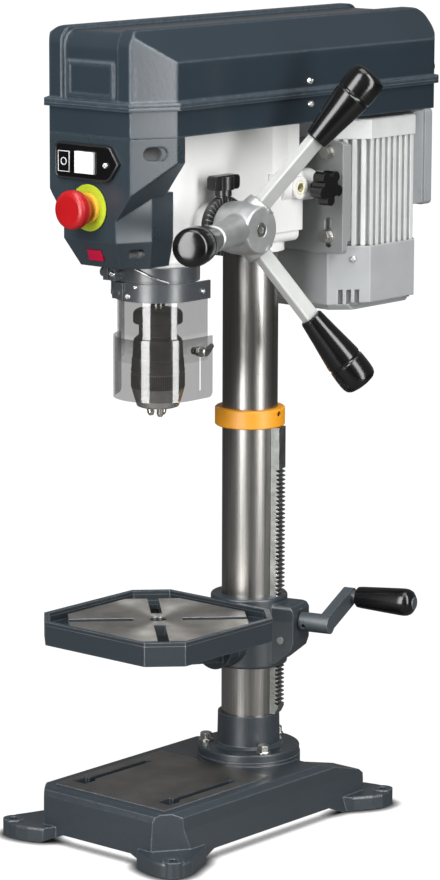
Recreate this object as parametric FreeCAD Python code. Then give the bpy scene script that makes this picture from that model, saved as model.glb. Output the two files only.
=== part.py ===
import FreeCAD, Part
import math
import os

# Benchtop drill press, in millimetres. Z is up. The origin lies on the bench, in the middle
# of the four holes that bolt the base down. The operator stands on the -Y side, and +X is
# the operator's right, where the feed handles are.

# Layout of the vertical axes
throat = 150.0
column_y = 80.0
spindle_y = column_y - throat
motor_y = column_y + 155.0
idler_y = column_y + 3.0

# Clearances
running_gap = 0.05
free_gap = 0.3
hole_gap = 0.5

# Base
hole_x = 114.0
hole_y = 175.0
base_hole_r = 5.0
foot_pad_top = 16.0
foot_pad_r = 22.0
foot_pad_outer_x = hole_x + 12.0
foot_pad_outer_y = hole_y + 13.0
skirt_x = 104.0
skirt_y = 168.0
shoulder_x = 97.0
shoulder_z = 36.0
deck_x = 92.0
deck_z = 55.5
base_wall = 7.0
arch_z = 9.0
arch_slope = 24.0
front_cut_x = 28.0
front_cut_y = 40.0
rear_cut_x = 12.0
rear_cut_y = 18.0
front_ear_y = 118.0
rear_ear_y = 130.0
rear_slope_y = 95.0
valley_half = 52.0
valley_end_z = 25.0
rear_deck_z = 40.0
plateau_x = 77.0
plateau_z = 57.0
plateau_front_y = -147.0
plateau_back_y = 22.0
slot_x = 60.0
slot_w = 9.0
slot_head_w = 18.0
slot_front_y = -130.0
slot_head_back_y = -109.0
slot_back_y = -16.0
boss_r = 57.0
boss_top = 60.0

# Column, its foot, its stop collar and the lift rack
column_r = 30.0
column_wall = 4.0
column_bottom = 62.0
column_top = 746.0
foot_r = 56.0
foot_flange_t = 8.5
foot_sleeve_r = 34.6
foot_sleeve_top_r = 33.8
foot_sleeve_top = 105.0
foot_bolt_circle = 47.5
foot_bolt_r = 4.0
foot_bolt_flats = 12.0
foot_bolt_head = 7.5
washer_r = 8.0
washer_t = 1.6
collar_r = 38.0
collar_bottom = 425.0
collar_top = 445.0
collar_recess_depth = 9.0
rack_angle = 15.0
rack_w = 17.0
rack_back_r = column_r + free_gap
rack_tip_r = 38.8
rack_bottom = 106.0
rack_teeth_bottom = 118.0
rack_teeth_top = 380.0
rack_tongue_r = 33.6
rack_tongue_h = 7.0
lift_module = 1.5
lift_teeth = 14

# Table bracket
bracket_bottom = 161.0
bracket_top = 238.5
bracket_r = 42.0
gearbox_half_w = 21.0
gearbox_r = 62.5
gearbox_bottom = 166.0
gearbox_top = 232.0
gear_shaft_r = 4.0
worm_shaft_r = 6.0
worm_r = 6.2
worm_len = 14.0
trunnion_z = 190.0
trunnion_r = 27.0
trunnion_face_y = column_y - 46.0

clamp_x = -bracket_r - 5.0
clamp_z = 201.0

# Table
table_half = 100.0
table_corner = 30.0
table_top = 239.0
table_bottom = 213.7
table_floor = 223.0
table_rim = 5.0
table_pad_half = 88.0
table_pad_corner = 42.0
table_pad_top = 235.0
table_wall = 6.0
table_slot_w = 12.0
table_slot_start = 26.0
table_slot_end = 96.0
table_hole_r = 9.0
table_boss_r = 24.0

# Crank
crank_hub_r = 10.5
crank_hub_start = gearbox_r + 1.0
crank_hub_end = 98.0
crank_len = 65.0
crank_angle = 16.0
crank_arm_w = 19.0
crank_arm_t = 11.0
crank_grip_r0 = 11.5
crank_grip_r1 = 15.0
crank_grip_len = 64.0

# Head casting
head_half_w = 42.0
head_back_y = column_y + 40.0
head_bottom = 625.0
head_top = 756.6
nose_r = 38.0
nose_bottom = 600.0
neck_r = 36.0
neck_bottom = 616.0
rear_boss_r = 42.0
rear_boss_bottom = 637.0
rod_x = 30.0
rod_z = 683.5
rod_r = 8.0
rod_boss_r = 17.0
rod_boss_y = column_y + 60.0
bush_hole_y = column_y + 24.0
bush_hole_r = 7.5
bush_face_x = 49.0
tension_y = rod_boss_y - 14.0
tension_x = rod_x + rod_boss_r + 6.3
motor_travel = 10.0

# Quill, feed pinion and hub
quill_r = 25.0
quill_bottom = nose_bottom - 15.0
quill_top = 733.0
feed_module = 1.25
feed_teeth = 20
feed_pitch_r = feed_module * feed_teeth / 2
quill_pitch_y = spindle_y + 22.0
feed_y = quill_pitch_y + feed_pitch_r
feed_z = 657.0
feed_bore_r = 14.4
feed_tail_r = 7.0
hub_start_x = 64.3
hub_end_x = 112.0
hub_r = 25.0
hub_face_r = 23.0
spoke_apex_x = 85.0
spoke_lean = 26.0
first_spoke = 58.2
spoke_w = 18.0
spoke_t = 11.0
spoke_start = 14.0
grip_start = 118.0
grip_end = 208.0
grip_root_r = 12.5
grip_max_r = 19.8
grip_tip_r = 17.0
hub_boss_r = 19.0
hub_boss_len = 26.0
scale_r = 31.0
scale_start_x = head_half_w + 14.3
scale_end_x = hub_start_x - free_gap

# Spindle and chuck
spindle_r = 10.0
spline_r = 8.5
spindle_top = 850.0
chuck_top = quill_bottom - 17.0
chuck_ring_bottom = chuck_top - 14.5
chuck_ring_r = 26.0
chuck_neck_r = 20.0
chuck_neck_bottom = chuck_ring_bottom - 12.5
chuck_body_r = 26.0
sleeve_top = chuck_top - 51.0
sleeve_r = 28.5
sleeve_cone_z = sleeve_top - 32.0
sleeve_end_z = sleeve_cone_z - 19.5
sleeve_end_r = 22.0
chuck_core_r = 20.0
jaw_r = 3.8
jaw_tip_z = sleeve_end_z - 10.5
jaw_tip_offset = 7.0
jaw_lean = 9.0
jaw_len = 40.0
jaw_bore_len = 54.0

# Belt housing and lid
cover_front_y = column_y - 254.3
cover_flare_y = column_y - 210.0
cover_back_y = column_y + 226.0
cover_front_half = 55.5
cover_half = 79.5
cover_corner_r = 15.0
cover_wall = 2.5
cover_floor = 757.0
flange_out = 4.9
flange_bottom = 784.7
flange_split = 788.6
flange_top = 792.6
lid_shoulder_z = flange_top + 40.1
lid_top = flange_top + 73.1
lid_top_half = 50.2
lid_front_r = 17.0
lid_back_run = 16.0
lid_back_drop = 11.0
rail_inner_x = 38.0
rail_height = 4.0
hinge_r = 3.7
hinge_pin_r = 2.0
hinge_len = 30.0
hinge_x = -cover_half - flange_out - hinge_r - free_gap

# Belt drive
pulley_pitch = 15.0
first_groove_z = 772.0
groove_depth = 8.3
groove_half = 5.8
groove_slope = 0.25
spindle_steps = (56.0, 48.0, 40.0, 32.0)
idler_steps = (28.0, 36.0, 44.0, 52.0)
motor_steps = (44.0, 36.0, 28.0, 20.0)
drive_sleeve_r = 14.0
idler_pin_r = 8.0

# Control panel
panel_upper = (55.5, 79.5, column_y - 254.3, column_y - 210.0, column_y - 198.0)
panel_lower = (36.0, 52.0, column_y - 254.3, column_y - 217.6, column_y - 185.0)
panel_bottom = (27.0, 46.0, column_y - 238.5, column_y - 214.0, column_y - 185.0)
panel_flare_low = (36.5, column_y - 254.3, 668.5)
panel_flare_high = (79.5, column_y - 208.0, 731.5)
panel_flare_front = (56.0, column_y - 254.3, 700.5)
panel_side_low = (52.0, 694.0)
panel_side_high = (79.5, 731.0)
panel_chin_z = 650.0
panel_bottom_z = 621.5
panel_wall = 3.0
stop_x = 0.0
stop_z = 684.0
stop_head_r = 20.0
stop_head_front = 33.0
switch_z = 731.0
rocker_x = 0.5
rocker_z = 635.0

# Chuck guard
guard_band_r = 45.0
guard_band_t = 2.5
guard_band_bottom = 580.3
guard_band_top = 599.5
upper_shield_r = 42.4
lower_shield_r = 46.8
upper_shield_bottom = 515.0
lower_shield_top = 541.0
lower_shield_bottom = 476.0
shield_t = 1.8
lower_shield_corner = 6.0
lower_shield_travel = 40.0
wing_screw_r = 1.6
guard_start = 8.0
guard_back_y = column_y - 118.0
guard_pin_x = -49.0
guard_pin_y = column_y - 160.0
clamp_ring_r = 44.0
clamp_ring_bottom = 601.5
clamp_ring_top = 616.0
wing_y = column_y - 135.5
wing_z = 526.0

# Motor
motor_half = 70.0
motor_flat = 38.0
fin_bottom = 614.0
fin_top = 730.0
fin_depth = 6.0
fin_pitch = 10.0
cap_top = 752.0
cowl_bottom = 543.0
motor_shaft_r = 7.0
plate_half = 65.0
plate_t = 8.0
plate_face_y = column_y + 76.0
plate_bottom = 607.5
plate_top = 729.0
plate_bolt_x = 45.0
plate_bolt_low = 626.0
plate_bolt_high = 717.0


def box(x0, x1, y0, y1, z0, z1):
    return Part.makeBox(x1 - x0, y1 - y0, z1 - z0, FreeCAD.Vector(x0, y0, z0))


def rod(radius, start, end):
    # A cylinder from one point to another.
    a = FreeCAD.Vector(*start)
    b = FreeCAD.Vector(*end)
    return Part.makeCylinder(radius, (b - a).Length, a, b - a)


def taper(radius0, radius1, start, end):
    a = FreeCAD.Vector(*start)
    b = FreeCAD.Vector(*end)
    return Part.makeCone(radius0, radius1, (b - a).Length, a, b - a)


def ring(outer, inner, start, end):
    return rod(outer, start, end).cut(rod(inner, start, end))


def prism(points, axis, low, high):
    # A polygon pushed out along one axis; the points hold the other two coordinates in order.
    place = {
        "x": lambda p: FreeCAD.Vector(low, p[0], p[1]),
        "y": lambda p: FreeCAD.Vector(p[0], low, p[1]),
        "z": lambda p: FreeCAD.Vector(p[0], p[1], low),
    }[axis]
    way = {"x": (1, 0, 0), "y": (0, 1, 0), "z": (0, 0, 1)}[axis]
    corners = [place(p) for p in points]
    face = Part.Face(Part.makePolygon(corners + corners[:1]))
    return face.extrude(FreeCAD.Vector(*way) * (high - low))


def turned(points, centre=(0.0, 0.0)):
    # A (radius, height) profile turned about a vertical axis.
    corners = [FreeCAD.Vector(r, 0, z) for r, z in points]
    face = Part.Face(Part.makePolygon(corners + corners[:1]))
    solid = face.revolve(FreeCAD.Vector(0, 0, 0), FreeCAD.Vector(0, 0, 1), 360)
    solid.translate(FreeCAD.Vector(centre[0], centre[1], 0))
    return solid


def fuse(shapes):
    whole = shapes[0]
    if len(shapes) > 1:
        whole = shapes[0].fuse(shapes[1:])
    return whole.removeSplitter()


def cut(body, tools):
    for tool in tools:
        body = body.cut(tool)
    return body


def spun(shape, centre, axis, degrees):
    moved = shape.copy()
    moved.rotate(FreeCAD.Vector(*centre), FreeCAD.Vector(*axis), degrees)
    return moved


def mirrored_x(shape):
    return shape.mirror(FreeCAD.Vector(0, 0, 0), FreeCAD.Vector(1, 0, 0))


def mirrored_y(shape):
    return shape.mirror(FreeCAD.Vector(0, 0, 0), FreeCAD.Vector(0, 1, 0))


def hex_prism(flats, start, end):
    # Built standing at the origin, then laid along the wanted line.
    a = FreeCAD.Vector(*start)
    b = FreeCAD.Vector(*end)
    corner = flats / math.sqrt(3)
    points = []
    for k in range(6):
        points.append((corner * math.cos(k * math.pi / 3), corner * math.sin(k * math.pi / 3)))
    solid = prism(points, "z", 0, (b - a).Length)
    solid.Placement = FreeCAD.Placement(a, FreeCAD.Rotation(FreeCAD.Vector(0, 0, 1), b - a))
    return solid


def around_column(shape):
    # Shapes for the rack side are drawn on the +X side of an origin at the column.
    moved = spun(shape, (0, 0, 0), (0, 0, 1), rack_angle)
    moved.translate(FreeCAD.Vector(0, column_y, 0))
    return moved


def save(name, shape):
    if isinstance(shape, (list, tuple)):
        shape = Part.makeCompound(list(shape))
    os.makedirs("parts", exist_ok=True)
    shape.exportStep("parts/" + name + ".step")


# Base and column foot

def base_plan(inset):
    # Outline of the hollow body; the front corners are cut back further than the rear ones.
    x = skirt_x - inset
    y = skirt_y - inset
    points = [(x - front_cut_x, -y), (x, -y + front_cut_y), (x, y - rear_cut_y), (x - rear_cut_x, y)]
    return points + [(-px, py) for px, py in reversed(points)]


def base_body(inset, low):
    # The body is the overlap of its plan with its front and side outlines.
    half = [(skirt_x - inset, low), (shoulder_x - inset, shoulder_z)]
    half += [(deck_x + 4 - inset, deck_z - 5 - inset), (deck_x - 3 - inset, deck_z - inset)]
    front = half + [(-x, z) for x, z in reversed(half)]
    nose = -skirt_y + inset
    tail = skirt_y - inset
    side = [(nose, low), (nose + 2, deck_z - 8 - inset), (nose + 4.5, deck_z - 2.5 - inset)]
    side += [(nose + 10, deck_z - inset), (rear_slope_y - inset / 2, deck_z - inset)]
    side += [(tail - 14, rear_deck_z - inset), (tail - 5, rear_deck_z - 7 - inset)]
    side += [(tail - 1, rear_deck_z - 15 - inset), (tail, low)]
    body = prism(front, "y", -skirt_y, skirt_y)
    body = body.common(prism(base_plan(inset), "z", low, plateau_z))
    return body.common(prism(side, "x", -skirt_x, skirt_x))


def rear_valley(drop):
    # The middle of the rear deck falls away behind the column boss, between raised sides.
    side = [(rear_slope_y, deck_z - drop), (skirt_y + 1, valley_end_z - drop), (skirt_y + 1, deck_z + 5)]
    side += [(rear_slope_y, deck_z + 5)]
    front = [(-valley_half - 18, deck_z + 6), (-valley_half, valley_end_z - drop - 1)]
    front += [(valley_half, valley_end_z - drop - 1), (valley_half + 18, deck_z + 6)]
    return prism(side, "x", -skirt_x, skirt_x).common(prism(front, "y", 0, skirt_y + 2))


def base_ear(start):
    # One bolting ear, drawn for the corner where x and y are both positive; it leaves the
    # long side of the body at the given y.
    x = foot_pad_outer_x
    y = foot_pad_outer_y
    outline = [(60, start - 16), (skirt_x - 4, start - 10), (x - 16, start), (x - 5, y - 40), (x, y - 28)]
    outline += [(x, y)]
    outline += [(x - 28, y), (x - 42, y - 3), (x - 59, y - 9), (56, skirt_y - 4), (40, 150)]
    ear = prism(outline, "z", 0, foot_pad_top)
    outer = [e for e in ear.Edges if e.BoundBox.XMin > x - 1 and e.BoundBox.YMin > y - 1]
    ear = ear.makeFillet(foot_pad_r, outer)
    rims = [e for e in ear.Edges if e.BoundBox.ZMin > foot_pad_top - 0.1
            and (e.BoundBox.XMax > x - 7 or e.BoundBox.YMax > y - 4)]
    ear = ear.makeFillet(3.5, rims)
    return ear.fuse(rod(11.0, (hole_x, hole_y, 0), (hole_x, hole_y, foot_pad_top + 1.0)))


def base_casting():
    body = base_body(0, 0)
    pads = []
    for sx in (-1, 1):
        for sy in (-1, 1):
            ear = base_ear(front_ear_y if sy < 0 else rear_ear_y)
            if sx < 0:
                ear = mirrored_x(ear)
            if sy < 0:
                ear = mirrored_y(ear)
            pads.append(ear)
    plateau = box(-plateau_x, plateau_x, plateau_front_y, plateau_back_y, deck_z - 2, plateau_z)
    boss = rod(boss_r, (0, column_y, 8), (0, column_y, boss_top))
    body = body.fuse(pads + [plateau])
    body = body.cut(rear_valley(0))
    body = body.cut(base_body(base_wall, -1).cut(rear_valley(base_wall)))
    ribs = []
    for x in (-30.0, 30.0):
        ribs.append(box(x - 3, x + 3, -skirt_y + 12, column_y, 14, deck_z - 5))
    body = body.fuse(ribs + [boss])
    arch_x = skirt_x - 32
    arch = [(-arch_x, -1), (-arch_x + arch_slope, arch_z), (arch_x - arch_slope, arch_z), (arch_x, -1)]
    arch_y = skirt_y - 48
    long_arch = [(-arch_y, -1), (-arch_y + arch_slope, arch_z)]
    long_arch += [(arch_y - arch_slope, arch_z), (arch_y, -1)]
    tools = [prism(arch, "y", -skirt_y - 30, skirt_y + 30)]
    tools.append(prism(long_arch, "x", -skirt_x - 30, skirt_x + 30))
    for x in (-slot_x, slot_x):
        tools.append(box(x - slot_w / 2, x + slot_w / 2, slot_front_y, slot_back_y, 30, plateau_z + 1))
        tools.append(box(x - slot_head_w / 2, x + slot_head_w / 2, slot_front_y, slot_head_back_y,
                         30, plateau_z + 1))
    for x in (-hole_x, hole_x):
        for y in (-hole_y, hole_y):
            tools.append(rod(base_hole_r, (x, y, -1), (x, y, foot_pad_top + 5)))
    for angle in foot_bolt_angles():
        x, y = foot_bolt_place(angle)
        tools.append(rod(foot_bolt_r, (x, y, 30), (x, y, boss_top + 1)))
    tools.append(rod(22.0, (0, column_y, 0), (0, column_y, boss_top + 1)))
    return cut(body, tools)


def foot_bolt_angles():
    return (-30.0, 90.0, 210.0)


def foot_bolt_place(angle):
    a = math.radians(angle)
    return foot_bolt_circle * math.cos(a), column_y + foot_bolt_circle * math.sin(a)


def column_foot():
    flange_top_z = boss_top + foot_flange_t
    flange = rod(foot_r, (0, column_y, boss_top), (0, column_y, flange_top_z))
    flange = flange.makeFillet(2.0, [e for e in flange.Edges if e.BoundBox.ZMin > flange_top_z - 0.1])
    sleeve = taper(foot_sleeve_r, foot_sleeve_top_r, (0, column_y, flange_top_z - 1),
                   (0, column_y, foot_sleeve_top))
    root = taper(foot_sleeve_r + 3, foot_sleeve_r, (0, column_y, flange_top_z),
                 (0, column_y, flange_top_z + 3))
    body = fuse([flange, sleeve, root])
    tools = [rod(column_r + running_gap, (0, column_y, column_bottom), (0, column_y, 120))]
    tools.append(rod(22.0, (0, column_y, boss_top - 1), (0, column_y, 120)))
    for angle in foot_bolt_angles():
        x, y = foot_bolt_place(angle)
        tools.append(rod(foot_bolt_r + hole_gap, (x, y, boss_top - 1), (x, y, 120)))
        tools.append(ring(washer_r + 1.5, 0.01, (x, y, flange_top_z), (x, y, flange_top_z + 20)))
    return cut(body, tools)


def foot_bolts():
    seat = boss_top + foot_flange_t
    solids = []
    for angle in foot_bolt_angles():
        x, y = foot_bolt_place(angle)
        shank = rod(foot_bolt_r, (x, y, 34), (x, y, seat + 2))
        washer = rod(washer_r, (x, y, seat), (x, y, seat + washer_t))
        top = seat + washer_t + foot_bolt_head
        head = hex_prism(foot_bolt_flats, (x, y, seat + washer_t), (x, y, top))
        dome = taper(foot_bolt_flats / 2 + 1.2, foot_bolt_flats / 2 - 0.6, (x, y, top - 1.5), (x, y, top))
        head = head.common(dome.fuse(box(x - 20, x + 20, y - 20, y + 20, seat, top - 1.5)))
        solids.append(fuse([shank, washer, head]))
    return solids


def column():
    tube = ring(column_r, column_r - column_wall, (0, column_y, column_bottom), (0, column_y, column_top))
    return tube


def collar_screw_dir():
    a = math.radians(6.0)
    return math.cos(a), math.sin(a)


def column_collar():
    body = ring(collar_r, column_r + running_gap, (0, column_y, collar_bottom), (0, column_y, collar_top))
    edges = [e for e in body.Edges if e.BoundBox.XLength > 2 * collar_r - 1]
    body = body.makeChamfer(1.2, edges)
    recess = rod(math.hypot(rack_tongue_r, rack_w / 2) + free_gap, (0, column_y, collar_bottom - 1),
                 (0, column_y, collar_bottom + collar_recess_depth))
    dx, dy = collar_screw_dir()
    z = (collar_top + collar_bottom + collar_recess_depth) / 2
    hole = rod(3.0, (dx * (column_r - 4), column_y + dy * (column_r - 4), z),
               (dx * 50, column_y + dy * 50, z))
    return cut(body, [recess, hole])


def set_screws():
    # One grub screw holds the stop collar; two more on the left clamp the head to the column.
    dx, dy = collar_screw_dir()
    z = (collar_top + collar_bottom + collar_recess_depth) / 2
    solids = []
    start = (dx * (column_r + 0.05), column_y + dy * (column_r + 0.05), z)
    end = (dx * (collar_r - 2.5), column_y + dy * (collar_r - 2.5), z)
    grub = rod(2.95, start, end)
    socket = hex_prism(3.0, (dx * (collar_r - 5), column_y + dy * (collar_r - 5), z),
                       (dx * collar_r, column_y + dy * collar_r, z))
    solids.append(grub.cut(socket))
    for z in head_clamp_heights():
        grub = rod(4.95, (-column_r - 0.05, column_y, z), (-head_half_w + 1.0, column_y, z))
        socket = hex_prism(5.0, (-head_half_w + 6, column_y, z), (-head_half_w, column_y, z))
        solids.append(grub.cut(socket))
    return solids


def head_clamp_heights():
    return (655.0, 705.0)


# Table lift

def table_rack():
    # Drawn with its teeth facing +X.
    top = collar_bottom + rack_tongue_h
    bar = box(rack_back_r - 2, rack_tip_r, -rack_w / 2, rack_w / 2, rack_bottom, collar_bottom - free_gap)
    tongue = box(rack_back_r - 2, rack_tongue_r, -rack_w / 2, rack_w / 2, rack_bottom, top)
    bar = bar.fuse(tongue)
    bar = bar.cut(rod(rack_back_r, (0, 0, 0), (0, 0, 500)))
    bar = bar.common(rod(rack_tip_r + 0.4, (0, 0, 0), (0, 0, 500)).fuse(
        box(0, 60, -rack_w / 2, rack_w / 2, 0, 500)))
    nose = prism([(rack_tip_r + 1, rack_bottom + 9), (rack_tip_r - 4, rack_bottom - 1),
                  (rack_tip_r + 1, rack_bottom - 1)], "y", -rack_w, rack_w)
    bar = bar.cut(nose)
    pitch = math.pi * lift_module
    gear_z = lift_gear_centre()[1]
    depth = 2.25 * lift_module
    count = int((gear_z - rack_teeth_bottom) / pitch)
    z = gear_z - count * pitch
    gaps = []
    while z < rack_teeth_top:
        gap = [(rack_tip_r + 1, z - 0.42 * pitch), (rack_tip_r + 1, z + 0.42 * pitch)]
        gap += [(rack_tip_r - depth, z + 0.17 * pitch), (rack_tip_r - depth, z - 0.17 * pitch)]
        gaps.append(prism(gap, "y", -rack_w, rack_w))
        z += pitch
    bar = bar.cut(Part.makeCompound(gaps))
    return around_column(bar)


def lift_gear_centre():
    pitch_r = lift_module * lift_teeth / 2
    centre_r = rack_tip_r - lift_module + pitch_r
    return centre_r, 193.5


def gear_solid(module, teeth, width, phase):
    # A spur gear about the Y axis at the origin, with thin teeth so that it runs with backlash.
    outer = module * (teeth + 2) / 2
    root = module * (teeth - 2.4) / 2
    points = []
    for k in range(teeth):
        middle = phase + 360.0 * k / teeth
        for offset, radius in ((-0.21, root), (-0.07, outer), (0.07, outer), (0.21, root)):
            a = math.radians(middle + offset * 360.0 / teeth)
            points.append((radius * math.cos(a), radius * math.sin(a)))
    return prism(points, "y", -width / 2, width / 2)


def lift_gear():
    r, z = lift_gear_centre()
    gear = gear_solid(lift_module, lift_teeth, 7.0, 180.0)
    gear.translate(FreeCAD.Vector(r, -4.5, z))
    wheel = gear_solid(lift_module * 0.96, lift_teeth, 7.0, 180.0)
    wheel.translate(FreeCAD.Vector(r, 4.0, z))
    pin = rod(gear_shaft_r, (r, -gearbox_half_w - 1.5, z), (r, gearbox_half_w + 1.5, z))
    return around_column(fuse([gear, wheel, pin]))


def worm_height():
    r, z = lift_gear_centre()
    gear_tip_r = lift_module * (lift_teeth + 2) / 2
    return z + gear_tip_r + worm_r + free_gap


def crank_worm():
    r, z = lift_gear_centre()
    zw = worm_height()
    shaft = rod(worm_shaft_r, (r - worm_len / 2, 0, zw), (crank_hub_end - 2, 0, zw))
    worm = rod(worm_r, (r - worm_len / 2, 0, zw), (r + worm_len / 2, 0, zw))
    grooves = []
    for k in range(4):
        x = r - worm_len / 2 + 2.0 + k * 4.0
        cutter = ring(worm_r + 1, worm_r - 0.5, (x - 0.8, 0, zw), (x + 0.8, 0, zw))
        grooves.append(spun(cutter, (x, 0, zw), (0, 0, 1), 6.0))
    worm = worm.cut(Part.makeCompound(grooves))
    return around_column(fuse([shaft, worm]))


def table_bracket():
    r, z = lift_gear_centre()
    zw = worm_height()
    collar = rod(bracket_r, (0, 0, bracket_bottom), (0, 0, bracket_top))
    rims = [e for e in collar.Edges if e.BoundBox.ZLength < 0.1]
    collar = collar.makeFillet(2.5, rims)
    profile = [(10, gearbox_bottom), (gearbox_r - 22, gearbox_bottom), (gearbox_r - 3, gearbox_bottom + 16)]
    profile += [(gearbox_r, gearbox_bottom + 25), (gearbox_r, gearbox_top - 7)]
    profile += [(gearbox_r - 3, gearbox_top - 2), (gearbox_r - 8, gearbox_top), (10, gearbox_top)]
    case = prism(profile, "y", -gearbox_half_w, gearbox_half_w)
    edges = [e for e in case.Edges if e.BoundBox.ZMin > gearbox_top - 0.1 and e.BoundBox.YLength < 0.1]
    case = case.makeFillet(5.0, edges)
    end_boss = rod(14.0, (gearbox_r - 12, 0, zw), (gearbox_r, 0, zw))
    body = fuse([collar, case, end_boss])
    tools = [rod(column_r + running_gap * 3, (0, 0, 100), (0, 0, 300))]
    channel = rack_tip_r + free_gap + 0.2
    tools.append(box(0, channel, -rack_w / 2 - free_gap, rack_w / 2 + free_gap, 100, 300))
    gear_r = lift_module * (lift_teeth + 2) / 2
    tools.append(rod(gear_r + 0.6, (r, -8.5, z), (r, 8.0, z)))
    tools.append(rod(gear_shaft_r + running_gap, (r, -40, z), (r, 40, z)))
    tools.append(rod(worm_r + 0.6, (r - worm_len / 2 - free_gap, 0, zw), (r + worm_len / 2 + 1, 0, zw)))
    tools.append(rod(worm_shaft_r + running_gap, (r, 0, zw), (100, 0, zw)))
    body = around_column(cut(body, tools))
    face = trunnion_face_y
    pad = rod(trunnion_r, (0, column_y - 34, trunnion_z), (0, face, trunnion_z))
    pad = pad.cut(rod(column_r + 4, (0, column_y, 100), (0, column_y, 300)))
    ears = box(-bracket_r - 13, -20, column_y - 14, column_y + 14, 184, 218)
    ears = ears.makeFillet(6.0, [e for e in ears.Edges if e.BoundBox.XMax < -bracket_r - 12
                                 and e.BoundBox.YLength > 20])
    ears = ears.cut(rod(column_r + 6, (0, column_y, 100), (0, column_y, 300)))
    body = fuse([body, pad, ears])
    tools = [box(-bracket_r - 20, -column_r + 4, column_y - 1.5, column_y + 1.5, 100, 300)]
    tools.append(rod(5.3, (clamp_x, column_y - 30, clamp_z), (clamp_x, column_y + 30, clamp_z)))
    tools.append(rod(7.3, (0, column_y - column_r, trunnion_z), (0, face - 1, trunnion_z)))
    return cut(body, tools)


def table_clamp():
    # The clamp screw closes the split in the bracket when its lever is swung.
    x = clamp_x
    z = clamp_z
    screw = rod(5.0, (x, column_y - 20, z), (x, column_y + 24, z))
    hub = rod(7.0, (x, column_y - 27, z), (x, column_y - 14.4, z))
    tip = (x - 48, column_y - 28, z - 16)
    lever = taper(4.5, 3.6, (x, column_y - 22, z), tip)
    ball = Part.makeSphere(7.5, FreeCAD.Vector(*tip), FreeCAD.Vector(-48, -6, -16))
    nut = hex_prism(11.5, (x, column_y + 14.4, z), (x, column_y + 22, z))
    return fuse([screw, hub, lever, ball, nut])


# Table

def table_outline(half, corner):
    c = half - corner
    points = [(c, -half), (half, -c), (half, c), (c, half)]
    points += [(-c, half), (-half, c), (-half, -c), (-c, -half)]
    return [(x, y + spindle_y) for x, y in points]


def work_table():
    outer = prism(table_outline(table_half, table_corner), "z", table_bottom, table_top)
    ditch_half = table_half - table_rim
    ditch = prism(table_outline(ditch_half, table_corner - 2), "z", table_floor + 5, table_top + 1)
    pad = prism(table_outline(table_pad_half, table_pad_corner), "z", table_floor, table_pad_top)
    under_half = table_half - table_wall
    under = prism(table_outline(under_half, table_corner - 2), "z", table_bottom - 1, table_floor)
    body = outer.cut(ditch).fuse(pad).cut(under)
    body = body.fuse(rod(table_boss_r, (0, spindle_y, table_bottom), (0, spindle_y, table_floor + 1)))
    ribs = []
    for angle in (0.0, 90.0):
        rib = box(-under_half, under_half, spindle_y - 3, spindle_y + 3, table_bottom + 1, table_floor + 1)
        ribs.append(spun(rib, (0, spindle_y, 0), (0, 0, 1), angle))
    arm_start = trunnion_face_y - free_gap
    arm = [(spindle_y, table_bottom + 1), (spindle_y + 26, trunnion_z - 8)]
    arm += [(arm_start - 8, trunnion_z - 18), (arm_start - 8, table_bottom + 1)]
    ribs.append(prism(arm, "x", -15, 15))
    ribs.append(rod(trunnion_r, (0, arm_start - 15, trunnion_z), (0, arm_start, trunnion_z)))
    body = body.fuse(ribs)
    tools = []
    for k in range(4):
        slot = box(table_slot_start, table_slot_end + 10, spindle_y - table_slot_w / 2,
                   spindle_y + table_slot_w / 2, table_floor - 2, table_top)
        limit = prism(table_outline(table_pad_half + 1, table_pad_corner), "z", table_floor - 2,
                      table_top)
        slot = spun(slot, (0, spindle_y, 0), (0, 0, 1), 45 + 90 * k).common(limit)
        through = box(table_slot_start, table_slot_end - 12, spindle_y - table_slot_w / 4,
                      spindle_y + table_slot_w / 4, table_bottom - 1, table_top)
        tools.append(slot)
        tools.append(spun(through, (0, spindle_y, 0), (0, 0, 1), 45 + 90 * k))
    tools.append(rod(table_hole_r, (0, spindle_y, table_bottom - 40), (0, spindle_y, table_top + 1)))
    tools.append(rod(7.3, (0, 60, trunnion_z), (0, arm_start - 30, trunnion_z)))
    tools.append(rod(13.0, (0, arm_start - 15, trunnion_z), (0, arm_start - 60, trunnion_z)))
    body = cut(body, tools)
    return body


def tilt_bolt():
    # Joins the table's knuckle to the bracket and locks the tilt.
    z = trunnion_z
    seat = trunnion_face_y - free_gap - 15
    shank = rod(6.95, (0, column_y - 35, z), (0, seat - 1, z))
    head = hex_prism(20.0, (0, seat - 0.05, z), (0, seat - 9, z))
    return fuse([shank, head])


def crank_frame(shape):
    # The crank is drawn with its arm along +Y, then swung up about the shaft.
    moved = spun(shape, (0, 0, worm_height()), (1, 0, 0), crank_angle)
    return around_column(moved)


def crank_arm():
    zw = worm_height()
    middle = crank_hub_end - crank_arm_t / 2 - 1
    hub = rod(crank_hub_r, (crank_hub_start, 0, zw), (crank_hub_end, 0, zw))
    bar = box(middle - crank_arm_t / 2, middle + crank_arm_t / 2, 0, crank_len,
              zw - crank_arm_w / 2, zw + crank_arm_w / 2)
    end = rod(crank_arm_w / 2, (middle - crank_arm_t / 2, crank_len, zw),
              (middle + crank_arm_t / 2, crank_len, zw))
    pin = rod(4.0, (middle, crank_len, zw), (crank_grip_start() + crank_grip_len + 3, crank_len, zw))
    cap = rod(7.0, (crank_grip_start() + crank_grip_len + 0.4, crank_len, zw),
              (crank_grip_start() + crank_grip_len + 4, crank_len, zw))
    collar = rod(7.0, (middle, crank_len, zw), (crank_grip_start() - 0.4, crank_len, zw))
    body = fuse([hub, bar, end, pin, cap, collar])
    grub = rod(2.5, (crank_hub_start + 6, 0, zw), (crank_hub_start + 6, -20, zw))
    body = cut(body, [rod(worm_shaft_r, (0, 0, zw), (crank_hub_end - 2, 0, zw)), grub])
    return crank_frame(body)


def crank_grip_start():
    return crank_hub_end + 4.0


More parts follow.
